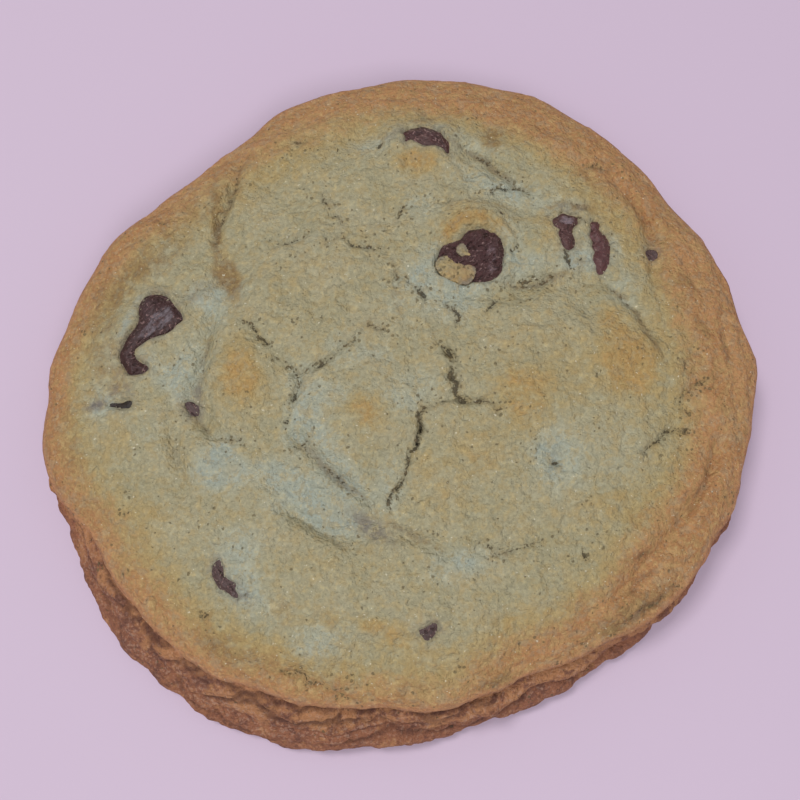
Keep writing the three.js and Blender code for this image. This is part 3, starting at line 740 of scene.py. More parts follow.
class Nodes:
    """A short way to write a node tree. A value is a socket or a number, and a colour a socket or a tuple."""

    def __init__(self, tree: bpy.types.NodeTree) -> None:
        """Works on a node tree."""
        self.tree = tree

    def add(self, kind: str, inputs: dict | None = None, **settings: object) -> bpy.types.Node:
        """Adds a node.

        Args:
            kind: the node's type, without its ShaderNode.
            inputs: an input's name or number to a value, or to the socket that feeds it.
            settings: the node's own settings.

        Returns:
            The node.
        """
        node = self.tree.nodes.new(kind if kind.startswith("NodeGroup") else "ShaderNode" + kind)
        for name, value in settings.items():
            setattr(node, name, value)
        for name, value in (inputs or {}).items():
            self.feed(node.inputs[name], value)
        return node

    def feed(self, socket: bpy.types.NodeSocket, value: object) -> None:
        """Links a socket to an input, or sets the input's value.

        Args:
            socket: the input.
            value: the socket that feeds it, or its value.
        """
        if isinstance(value, bpy.types.NodeSocket):
            self.tree.links.new(value, socket)
        else:
            socket.default_value = value

    def use(self, group: str, place: object, **inputs: object) -> bpy.types.NodeOutputs:
        """Uses a shader node group.

        Args:
            group: its name among the groups.
            place: the place of the surface in millimetres.
            inputs: its other inputs by name.

        Returns:
            Its outputs.
        """
        node = self.add("Group", node_tree=Groups.get(group))
        for name, value in {"Place": place, **inputs}.items():
            self.feed(node.inputs[name], value)
        return node.outputs

    def mask(self, name: str) -> object:
        """The value that the mesh holds under a name."""
        return self.add("Attribute", attribute_name=name).outputs["Fac"]

    def math(self, operation: str, first: object, second: object = 0.0) -> object:
        """One step of arithmetic on two values."""
        return self.add("Math", {0: first, 1: second}, operation=operation).outputs[0]

    def times(self, first: object, second: object) -> object:
        """The product of two values."""
        return self.math("MULTIPLY", first, second)

    def plus(self, first: object, second: object) -> object:
        """The sum of two values."""
        return self.math("ADD", first, second)

    def minus(self, first: object, second: object) -> object:
        """The first value less the second."""
        return self.math("SUBTRACT", first, second)

    def vector(self, operation: str, inputs: dict) -> object:
        """One step of arithmetic on vectors."""
        return self.add("VectorMath", inputs, operation=operation).outputs[0]

    def mix(self, share: object, first: object, second: object, blend: str = "MIX") -> object:
        """Mixes two colours.

        Args:
            share: how much of the second.
            first: the colour below.
            second: the colour on top.
            blend: how they mix.

        Returns:
            The mixed colour.
        """
        node = self.add("Mix", data_type="RGBA", blend_type=blend)
        for number, value in ((0, share), (6, first), (7, second)):
            self.feed(node.inputs[number], linear(*value) if isinstance(value, tuple) else value)
        return node.outputs[2]

    def ramp(self, value: object, low: float, high: float, start: float = 0.0, end: float = 1.0) -> object:
        """Passes softly from start to end as value goes from low to high."""
        inputs = {"Value": value, "From Min": low, "From Max": high, "To Min": start, "To Max": end}
        return self.add("MapRange", inputs, interpolation_type="SMOOTHSTEP").outputs[0]

    def noise(self, place: object, per_mm: float, detail: float, rough: float = 0.55) -> object:
        """Cloudy noise from 0 to 1, with so many lumps to the millimetre."""
        inputs = {"Vector": place, "Scale": per_mm, "Detail": detail, "Roughness": rough}
        return self.add("TexNoise", inputs, normalize=True).outputs[0]

    def grey(self, value: object) -> object:
        """A grey colour of that lightness."""
        return self.add("CombineColor", {0: value, 1: value, 2: value}).outputs[0]

    def dent(self, shader: bpy.types.Node, height: object, depth: float) -> None:
        """Roughens a shader's surface.

        Args:
            shader: the shader.
            height: the height from 0 to 1.
            depth: the depth that a height of 1 stands for, in millimetres.
        """
        bump = self.add("Bump", {"Height": height, "Strength": 1.0, "Distance": depth * MM})
        self.feed(shader.inputs["Normal"], bump.outputs[0])


def new_group(name: str, inputs: dict[str, float], outputs: Sequence[str]) -> tuple[Nodes, dict, object]:
    """Starts a shader node group.

    Args:
        name: the group's name.
        inputs: each value input with its default; every group also has a Place in millimetres.
        outputs: the names of its value outputs.

    Returns:
        The group's nodes, its inputs by name, and its output node.
    """
    tree = bpy.data.node_groups.new(name, "ShaderNodeTree")
    tree.interface.new_socket("Place", in_out="INPUT", socket_type="NodeSocketVector")
    for label, value in inputs.items():
        socket = tree.interface.new_socket(label, in_out="INPUT", socket_type="NodeSocketFloat")
        socket.default_value = value
    for label in outputs:
        tree.interface.new_socket(label, in_out="OUTPUT", socket_type="NodeSocketFloat")
    nodes = Nodes(tree)
    start, end = nodes.add("NodeGroupInput"), nodes.add("NodeGroupOutput")
    return nodes, {socket.name: socket for socket in start.outputs if socket.name}, end


def crumb_group() -> bpy.types.NodeTree:
    """The look of baked dough: soft mottling, sandy grain, ragged pores and glints.

    Returns:
        The group, with more pores as its Pores input rises.
    """
    nodes, given, end = new_group(
        "baked_crumb", {"Pores": 0.3}, ("Mottle", "Patch", "Grain", "Warm", "Pore", "Glint", "Height")
    )
    place = given["Place"]
    mottle = nodes.ramp(nodes.noise(place, 0.14, 5.0, 0.65), 0.32, 0.68)
    patch = nodes.ramp(nodes.noise(place, 0.6, 4.0, 0.65), 0.32, 0.68)
    grain = nodes.noise(place, 1.9, 2.0)
    aside = nodes.vector("ADD", {0: place, 1: (31.0, 17.0, 5.0)})
    warm = nodes.ramp(nodes.noise(aside, 0.8, 3.0, 0.6), 0.34, 0.66)
    glint = nodes.ramp(nodes.noise(aside, 1.9, 1.5, 0.6), 0.7, 0.76)

    # A pore is the middle of a cell: which cells have one, and how large, goes by lot
    sway = nodes.add("TexNoise", {"Vector": place, "Scale": 2.4, "Detail": 2.0}).outputs["Color"]
    moved = nodes.vector("ADD", {0: place, 1: nodes.vector("SCALE", {0: sway, "Scale": 0.5})})
    cells = nodes.add("TexVoronoi", {"Vector": moved, "Scale": 1.45})
    lot = nodes.add("SeparateColor", {0: cells.outputs["Color"]}).outputs[0]
    share = nodes.plus(lot, nodes.times(given["Pores"], 0.35))
    cluster = nodes.ramp(nodes.noise(place, 0.2, 2.0), 0.35, 0.65, -0.14, 0.12)
    reach = nodes.ramp(nodes.plus(share, cluster), 0.72, 1.15, 0.0, 0.42)
    ragged = nodes.times(nodes.minus(grain, 0.5), 0.35)
    pore = nodes.ramp(nodes.minus(nodes.minus(reach, ragged), cells.outputs["Distance"]), 0.02, 0.12)

    height = nodes.plus(nodes.times(grain, 0.08), nodes.times(patch, 0.34))
    height = nodes.minus(height, nodes.times(pore, 0.12))
    for socket, value in zip(end.inputs, (mottle, patch, grain, warm, pore, glint, height)):
        nodes.feed(socket, value)
    return nodes.tree


def bead_group() -> bpy.types.NodeTree:
    """A crack broken into crumbly beads, which carry its painted shade and its dent.

    Returns:
        The group, whose Nearness input is 1 on the crack and 0 away from it.
    """
    nodes, given, end = new_group("crumbly_crack", {"Nearness": 0.0}, ("Core", "Halo"))
    place = given["Place"]
    coarse = nodes.times(nodes.minus(nodes.noise(place, 0.95, 2.0, 0.6), 0.5), 1.7)
    fine = nodes.times(nodes.minus(nodes.noise(place, 2.6, 2.0, 0.6), 0.5), 1.9)
    level = nodes.plus(nodes.times(given["Nearness"], 1.3), nodes.plus(coarse, fine))
    present = nodes.ramp(given["Nearness"], 0.08, 0.3)
    nodes.feed(end.inputs["Core"], nodes.times(nodes.ramp(level, 0.84, 1.04), present))
    nodes.feed(end.inputs["Halo"], nodes.times(nodes.ramp(level, 0.3, 0.9), present))
    return nodes.tree


def scuff_group() -> bpy.types.NodeTree:
    """Pale scuffs and smears on chocolate or crust.

    Returns:
        The group, with more scuffs as Amount goes to 1 and smaller ones as Fineness rises.
    """
    nodes, given, end = new_group("scuffed_smear", {"Amount": 0.5, "Fineness": 1.0}, ("Mask", "Height"))
    place = nodes.vector("SCALE", {0: given["Place"], "Scale": given["Fineness"]})
    broad = nodes.noise(place, 0.5, 3.0, 0.6)
    fine = nodes.noise(place, 2.2, 5.0, 0.7)
    level = nodes.plus(nodes.times(broad, 0.6), nodes.times(fine, 0.4))
    edge = nodes.minus(0.78, nodes.times(given["Amount"], 0.5))
    mask = nodes.add("Math", {0: nodes.minus(level, edge), 1: 7.0}, operation="MULTIPLY", use_clamp=True)
    nodes.feed(end.inputs["Mask"], mask.outputs[0])
    nodes.feed(end.inputs["Height"], nodes.plus(nodes.times(fine, 0.25), broad))
    return nodes.tree


class Groups:
    """The shader node groups, each made once."""

    makers = {"crumb": crumb_group, "bead": bead_group, "scuff": scuff_group}
    made: dict[str, bpy.types.NodeTree] = {}

    @classmethod
    def get(cls, name: str) -> bpy.types.NodeTree:
        """The group of that name.

        Args:
            name: its name among the makers.

        Returns:
            The group.
        """
        if name not in cls.made:
            cls.made[name] = cls.makers[name]()
        return cls.made[name]


def new_material(name: str) -> tuple[Nodes, bpy.types.Node, object]:
    """Starts a material.

    Args:
        name: the material's name.

    Returns:
        Its nodes, its shader, and the place of the surface in millimetres.
    """
    material = bpy.data.materials.new(name)
    material.use_nodes = True
    nodes = Nodes(material.node_tree)
    shader = material.node_tree.nodes["Principled BSDF"]
    coordinates = nodes.add("TexCoord").outputs["Object"]
    return nodes, shader, nodes.vector("SCALE", {0: coordinates, "Scale": 1 / MM})


@dataclass(frozen=True)
class CrustFinish:
    """Baked crust, with its colours as the photo shows them."""

    olive: tuple = (159, 150, 117)
    cream: tuple = (169, 161, 131)
    cool: tuple = (152, 150, 126)
    sandy: tuple = (186, 170, 122)
    golden: tuple = (168, 146, 98)
    amber: tuple = (172, 136, 82)
    pale: tuple = (167, 168, 148)
    chalk: tuple = (155, 163, 152)
    rim: tuple = (180, 132, 88)
    rim_dark: tuple = (156, 108, 66)
    stain: tuple = (132, 104, 66)
    lip: tuple = (182, 126, 92)
    ledge: tuple = (184, 131, 90)
    foot: tuple = (156, 103, 76)
    foot_dark: tuple = (122, 81, 66)
    dust: tuple = (176, 142, 122)
    # Painted shade: in the cracks and beside them, in the seams of the wall, in the creases and in the pores
    crack: tuple = (62, 53, 40)
    weak_crack_shade: tuple = (122, 102, 70)
    seam: tuple = (82, 48, 38)
    valley_shade: tuple = (122, 113, 88)
    shade: tuple = (220, 216, 218)
    pore: tuple = (112, 100, 70)
    glint: tuple = (236, 230, 204)
    smear: tuple = (120, 114, 106)
    grain_light: tuple = (1.0, 1.22)
    gloss: float = 0.35
    relief: float = 1.0

    def material(self, name: str) -> bpy.types.Material:
        """Makes the crust's material.

        Args:
            name: the material's name.

        Returns:
            The material.
        """
        nodes, shader, place = new_material(name)
        side, crack = nodes.mask("side"), nodes.mask("crack")
        crumb = nodes.use("crumb", place, Pores=nodes.mask("crumbly"))
        beads = nodes.use("bead", place, Nearness=crack)
        wobble = nodes.noise(place, 0.9, 4.0, 0.65)
        broad = nodes.noise(place, 0.24, 3.0, 0.65)
        shift = nodes.times(nodes.minus(nodes.plus(crumb["Patch"], crumb["Mottle"]), 1.0), 0.34)

        colour = self.top_colour(nodes, crumb, broad, shift)
        wall = self.wall_colour(nodes, side, wobble, broad, crumb["Grain"])
        colour = nodes.mix(nodes.ramp(side, 0.02, 0.12), colour, wall)
        colour = self.shaded(nodes, colour, crumb["Grain"], shift, side, place)
        strength = nodes.plus(crack, self.centred(nodes, wobble))
        colour = self.cracked(nodes, colour, crumb["Pore"], beads, strength)
        glint = nodes.times(crumb["Glint"], nodes.ramp(side, 0.15, 0.05))
        colour = nodes.mix(nodes.times(glint, 0.5), colour, self.glint)
        nodes.feed(shader.inputs["Base Color"], colour)

        matt = nodes.ramp(crumb["Grain"], 0.3, 0.7, 0.66, 0.85)
        nodes.feed(shader.inputs["Roughness"], nodes.minus(matt, nodes.times(glint, 0.4)))
        shader.inputs["Specular IOR Level"].default_value = self.gloss
        height = nodes.minus(crumb["Height"], nodes.times(beads["Core"], 0.25))
        height = nodes.plus(height, nodes.times(wobble, nodes.ramp(side, 0.1, 0.4, 0.32, 1.5)))
        nodes.dent(shader, height, self.relief)
        return bpy.data.materials[name]

    @staticmethod
    def centred(nodes: Nodes, wobble: object) -> object:
        """Turns noise from 0 to 1 round, to lie either side of 0."""
        return nodes.times(nodes.minus(0.5, wobble), 1.5)

    def top_colour(self, nodes: Nodes, crumb: bpy.types.NodeOutputs, broad: object, shift: object) -> object:
        """Colour of the top: olive and cream, browned towards the rim, with golden and pale places.

        Args:
            nodes: the material's nodes.
            crumb: the crumb group's outputs.
            broad: broad cloudy noise.
            shift: makes the edges of the places uneven.

        Returns:
            The colour.
        """
        colour = nodes.mix(crumb["Mottle"], self.olive, self.cream)
        level = nodes.plus(nodes.mask("golden"), shift)
        toasted = nodes.mix(nodes.ramp(level, 0.6, 1.3, 0.0, 0.9), self.golden, self.amber)
        colour = nodes.mix(nodes.ramp(level, 0.05, 1.15), colour, toasted)
        level = nodes.minus(nodes.mask("pale"), shift)
        pale = nodes.mix(nodes.ramp(level, 0.75, 1.3), self.pale, self.chalk)
        colour = nodes.mix(nodes.ramp(level, 0.05, 1.05), colour, pale)
        veins = nodes.plus(nodes.ramp(broad, 0.36, 0.68), nodes.times(crumb["Patch"], 0.35))
        rim = nodes.mix(nodes.times(veins, 0.5), self.rim, self.rim_dark)
        level = nodes.plus(nodes.mask("rim"), nodes.times(shift, 0.55))
        colour = nodes.mix(nodes.ramp(level, 0.05, 0.7, 0.0, 0.9), colour, self.golden)
        colour = nodes.mix(nodes.ramp(level, 0.42, 1.1), colour, rim)
        level = nodes.plus(nodes.mask("browned"), shift)
        colour = nodes.mix(nodes.ramp(level, 0.15, 1.05, 0.0, 0.9), colour, self.stain)
        colour = nodes.mix(nodes.ramp(crumb["Warm"], 0.45, 1.0, 0.0, 0.38), colour, self.golden)
        return nodes.mix(nodes.ramp(crumb["Warm"], 0.5, 0.0, 0.0, 0.28), colour, self.cool)

    def wall_colour(self, nodes: Nodes, side: object, wobble: object, broad: object, grain: object) -> object:
        """Colour of the wall: a tan lip, a browner ledge and a dark dusty foot.

        Args:
            nodes: the material's nodes.
            side: from 0 at the top to 1 at the underside.
            wobble: cloudy noise.
            broad: broad cloudy noise.
            grain: fine noise.

        Returns:
            The colour.
        """
        level = nodes.plus(side, nodes.times(nodes.minus(broad, 0.5), 0.9))
        wall = nodes.mix(nodes.ramp(level, 0.10, 0.30), self.lip, self.ledge)
        wall = nodes.mix(nodes.ramp(level, 0.34, 0.6), wall, self.foot)
        torn = nodes.plus(nodes.times(wobble, 0.6), nodes.times(broad, 0.4))
        wall = nodes.mix(nodes.ramp(torn, 0.47, 0.36, 0.0, 0.75), wall, self.ledge)
        dark = nodes.times(nodes.ramp(torn, 0.5, 0.62), nodes.ramp(side, 0.12, 0.35))
        wall = nodes.mix(nodes.times(dark, 0.9), wall, self.foot_dark)
        dusty = nodes.times(nodes.mask("dust"), nodes.ramp(grain, 0.5, 0.66, 0.0, 0.6))
        return nodes.mix(dusty, wall, self.dust)

    def shaded(self, nodes: Nodes, colour: object, grain: object, shift: object, side: object,
               place: object) -> object:
        """Paints shade into the creases, lays the chocolate smears, and adds sandy grains.

        Args:
            nodes: the material's nodes.
            colour: the colour so far.
            grain: fine noise.
            shift: makes the edges of the places uneven.
            side: from 0 at the top to 1 at the underside.
            place: the place of the surface in millimetres.

        Returns:
            The colour.
        """
        # Painted shade in the creases and beside the cracks, laid by the crease mask
        valley_shade = nodes.ramp(nodes.plus(nodes.mask("crease"), shift), 0.1, 0.9)
        colour = nodes.mix(valley_shade, colour, nodes.mix(1.0, colour, self.shade, "MULTIPLY"))
        smear = nodes.use("scuff", place, Amount=0.75)
        colour = nodes.mix(nodes.times(nodes.mask("smudge"), smear["Mask"]), colour, self.smear)
        sandy = nodes.times(nodes.ramp(grain, 0.58, 0.74, 0.0, 0.6), nodes.ramp(side, 0.3, 0.1))
        colour = nodes.mix(sandy, colour, nodes.mix(0.55, colour, self.sandy))
        light = nodes.grey(nodes.ramp(grain, 0.28, 0.72, *self.grain_light))
        return nodes.mix(1.0, colour, light, "MULTIPLY")

    def cracked(self, nodes: Nodes, colour: object, pore: object, beads: bpy.types.NodeOutputs,
                strength: object) -> object:
        """Adds painted shade in the cracks, in the pores and along the seams of the wall.

        Args:
            nodes: the material's nodes.
            colour: the colour so far.
            pore: 1 in a pore.
            beads: the bead group's outputs.
            strength: how open the crack is.

        Returns:
            The colour.
        """
        # Painted shade beside the cracks, then in them
        colour = nodes.mix(nodes.times(beads["Halo"], 0.3), colour, self.valley_shade)
        core = nodes.mix(nodes.ramp(strength, 0.4, 0.85), self.weak_crack_shade, self.crack)
        colour = nodes.mix(nodes.times(beads["Core"], 0.76), colour, core)
        # Painted shade in the pores
        colour = nodes.mix(nodes.times(pore, 0.7), colour, self.pore)
        # Painted shade along the folds of the wall
        return nodes.mix(nodes.ramp(nodes.mask("seam"), 0.45, 1.0, 0.0, 0.82), colour, self.seam)


@dataclass(frozen=True)
class ChocolateFinish:
    """Chocolate of a chip: dark where it is clean, paler where it is scuffed, with crumbs at its edge and
    painted shade in its pits.
    """

    dark: tuple = (74, 42, 38)
    scuffed: tuple = (120, 96, 98)
    amount: float = 0.5
    fineness: float = 1.0
    streak_turn: float = 0.0
    streak_length: float = 1.0
    scratches: float = 0.5
    sheen: float = 0.42
    relief: float = 0.3
    scratch: tuple = (176, 142, 138)
    pit_shade: tuple = (50, 28, 26)
    crumbs: tuple = (170, 160, 138)

    def material(self, name: str) -> bpy.types.Material:
        """Makes the chocolate's material.

        Args:
            name: the material's name.

        Returns:
            The material.
        """
        nodes, shader, place = new_material(name)
        turn = {"Vector": place, "Angle": -math.radians(self.streak_turn)}
        turned = nodes.add("VectorRotate", turn, rotation_type="Z_AXIS").outputs[0]
        stretch = nodes.vector("MULTIPLY", {0: turned, 1: (1 / self.streak_length, 1, 1)})
        worn = nodes.times(nodes.mask("worn"), self.amount)
        scuff = nodes.use("scuff", stretch, Amount=worn, Fineness=self.fineness)
        grain = nodes.noise(place, 2.6, 3.0, 0.7)
        ridge = nodes.math("ABSOLUTE", nodes.minus(nodes.noise(stretch, 0.9, 2.0), 0.5))
        line = nodes.times(nodes.ramp(ridge, 0.035, 0.006), nodes.ramp(grain, 0.46, 0.56))
        pit = nodes.ramp(nodes.noise(stretch, 1.5, 2.0, 0.6), 0.43, 0.3)
        crumb = nodes.plus(nodes.times(nodes.mask("border"), 0.42), nodes.noise(place, 1.9, 3.0, 0.6))
        crumb = nodes.ramp(crumb, 1.0, 1.06)

        colour = nodes.mix(scuff["Mask"], self.dark, self.scuffed)
        colour = nodes.mix(1.0, colour, nodes.grey(nodes.ramp(grain, 0.3, 0.7, 0.85, 1.5)), "MULTIPLY")
        # Painted shade in the pits
        colour = nodes.mix(nodes.times(pit, 0.75), colour, self.pit_shade)
        colour = nodes.mix(nodes.times(line, self.scratches), colour, self.scratch)
        nodes.feed(shader.inputs["Base Color"], nodes.mix(crumb, colour, self.crumbs))
        rough = nodes.plus(nodes.times(scuff["Mask"], 0.25), self.sheen)
        nodes.feed(shader.inputs["Roughness"], nodes.plus(rough, nodes.times(crumb, 0.2)))
        height = nodes.plus(scuff["Height"], nodes.times(grain, 0.5))
        height = nodes.plus(height, nodes.times(nodes.plus(line, crumb), 0.3))
        nodes.dent(shader, nodes.minus(height, nodes.times(pit, 0.5)), self.relief)
        return bpy.data.materials[name]


@dataclass(frozen=True)
class FloorFinish:
    """A plain pale floor."""

    colour: tuple = (210, 190, 212)
    cloud: tuple = (222, 212, 226)
    roughness: float = 0.7

    def material(self, name: str) -> bpy.types.Material:
        """Makes the floor's material.

        Args:
            name: the material's name.

        Returns:
            The material.
        """
        nodes, shader, place = new_material(name)
        share = nodes.ramp(nodes.noise(place, 0.004, 2.0), 0.3, 0.7, 0.0, 0.06)
        nodes.feed(shader.inputs["Base Color"], nodes.mix(share, self.colour, self.cloud))
        shader.inputs["Roughness"].default_value = self.roughness
        return bpy.data.materials[name]


class ChipLook(Enum):
    """How a chip's surface came out of the oven."""

    SCUFFED = ChocolateFinish((60, 35, 35), (104, 94, 99), 0.72, 2.4, 50, 2.2, 0.6)
    SHAGGY = ChocolateFinish((76, 48, 48), (126, 104, 108), 0.66, 2.0, 30, 2, 0.85, 0.38, 0.8)
    SCRATCHED = ChocolateFinish((68, 38, 36), (140, 110, 104), 0.5, 1.8, -30, 2.5, 0.8, 0.36)
    SMOOTH = ChocolateFinish((86, 52, 52), (120, 90, 92), 0.35, 1.0, 80, 1.5, 0.4, 0.34)
    GREY = ChocolateFinish((80, 50, 48), (122, 106, 112), 0.75, 1.5, 20, 1.5, 0.6)
    DARK = ChocolateFinish((38, 28, 24), (70, 56, 50), 0.2, scratches=0.1)
    DUSTED = ChocolateFinish((76, 56, 55), (140, 126, 124), 0.7, 1.9, -50, 2, 0.6)

    def material(self) -> bpy.types.Material:
        """The look's material, made when it is first asked for."""
        name = "chocolate_" + self.name.lower()
        return bpy.data.materials.get(name) or self.value.material(name)


@dataclass
class Patch:
    """A thin closed piece laid over an outline of the crust: a fine grid, trimmed, sculpted and thickened."""

    name: str
    window: Route
    sunk: float = 0.35
    bulge: float = 0.8
    rounding: float = 1.2
    roughness: float = 0.12
    cell: float = 0.16
    skirt: float = 0.8
    skirt_start: float = 0.3
    skirt_slope: float = 1.4
    thickness: float = 1.3
    raggedness: float = 0.13
    ragged_step: float = 0.3
    outline: list = field(init=False)

    def __post_init__(self) -> None:
        """Works out the smooth outline, with ragged small turns."""
        smooth_outline = closed_outline(self.window)
        self.outline = wandering_route(smooth_outline, self.ragged_step, self.raggedness, len(self.name))
        self.outline[-1] = self.outline[0]

    def reach(self) -> tuple[Points, Points]:
        """Lowest and highest corner of the outline."""
        corners = np.asarray(self.outline)
        return corners.min(axis=0), corners.max(axis=0)

    def build(self) -> bpy.types.Object:
        """Models the piece.

        Returns:
            The closed piece.
        """
        low, high = self.reach()
        middle, span = (low + high) / 2, (high - low) + 2 * self.skirt
        columns, rows = np.ceil(span / self.cell).astype(int)
        select_none()
        bpy.ops.mesh.primitive_grid_add(x_subdivisions=int(columns), y_subdivisions=int(rows), size=1)
        piece = bpy.context.object
        piece.name = piece.data.name = self.name
        places = read_points(piece)
        x, y = (middle[axis] + places[:, axis] * span[axis] for axis in (0, 1))
        depth = inside_distance(self.outline, x, y)
        write_points(piece, np.column_stack([x, y, depth]))
        self.trim(piece, depth)
        x, y, depth = read_points(piece).T
        write_points(piece, self.sculpt(x, y, depth) * MM)
        self.mark(piece, x, y, depth)
        apply_modifier(piece, "SOLIDIFY", thickness=self.thickness * MM, offset=-1.0)
        face_outwards(piece)
        return piece

    def trim(self, piece: bpy.types.Object, depth: Points) -> None:
        """Cuts away what lies beyond the skirt.

        Args:
            piece: the grid.
            depth: how far inside the outline each of its points lies.
        """
        in_edit_mode(piece, "VERT")
        bpy.ops.object.mode_set(mode="OBJECT")
        piece.data.vertices.foreach_set("select", depth < -self.skirt)
        bpy.ops.object.mode_set(mode="EDIT")
        bpy.ops.mesh.delete(type="VERT")
        bpy.ops.object.mode_set(mode="OBJECT")

    def sculpt(self, x: Points, y: Points, depth: Points) -> Points:
        """The upper face, in millimetres.

        Args:
            x: the points' first coordinates.
            y: the points' second coordinates.
            depth: how far inside the outline each lies.

        Returns:
            The points.
        """
        swell = 1 - np.exp(-np.maximum(depth, 0) / self.rounding)
        skirt = np.minimum(depth + self.skirt_start, 0) * self.skirt_slope
        relief = self.roughness * layered_noise(flat_points(x, y), 1.3, 4, 31) * smooth((depth + 0.6) / 0.8)
        ground = FORM.top_height(x, y)
        return np.column_stack([x, y, ground - self.sunk + self.bulge * swell + skirt + relief])

    def mark(self, piece: bpy.types.Object, x: Points, y: Points, depth: Points) -> None:
        """Stores the colour masks of the piece; a plain patch has none."""


@dataclass
class Chip(Patch):
    """One chip, seen through the window that the crust leaves over it."""

    node: str = ""
    look: ChipLook = ChipLook.SMOOTH
    lip: float = 0.15
    smudge: float = 0.5
    worn: Sequence[Mound] = ()
    worn_middle: float = 0.35
    border: float = 0.55

    def mark(self, piece: bpy.types.Object, x: Points, y: Points, depth: Points) -> None:
        """Stores where the chip is worn: in its middle, and most at its worn places.

        Args:
            piece: the piece to mark.
            x: its points' first coordinates.
            y: its points' second coordinates.
            depth: how far inside the outline each lies.
        """
        worn = self.worn_middle * smooth(depth / 1.2)
        worn += sum(spot.rise * spot.spread(x, y) for spot in self.worn)
        write_attribute(piece, "worn", np.clip(worn, 0, 1))
        write_attribute(piece, "border", bell(np.maximum(depth, 0), self.border))

    def dress(self, piece: bpy.types.Object) -> None:
        """Gives the chip its chocolate and its place in the frame.

        Args:
            piece: the chip.
        """
        piece.data.materials.append(self.look.material())
        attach(piece, "root")
        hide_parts(self.node)


@dataclass
class Flake(Patch):
    """A flake of crust that stayed on a chip."""

    browning: float = 0.45

    def mark(self, piece: bpy.types.Object, x: Points, y: Points, depth: Points) -> None:
        """Stores how browned the flake is, and how full of pores.

        Args:
            piece: the piece to mark.
            x: its points' first coordinates.
            y: its points' second coordinates; not used.
            depth: how far inside the outline each lies.
        """
        low, high = self.reach()
        write_attribute(piece, "rim", self.browning + 0.3 * smooth((x - low[0]) / (high[0] - low[0])))
        write_attribute(piece, "smudge", 0.2 + 0.5 * bell(np.maximum(depth, 0), 0.3))
        write_attribute(piece, "crumbly", np.full(len(x), 0.9))

    def dress(self, piece: bpy.types.Object) -> None:
        """Gives the flake the crust's look and its place in the frame.

        Args:
            piece: the flake.
        """
        piece.data.materials.append(bpy.data.materials["baked_crust"])
        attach(piece, "root")
        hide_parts("cookie")


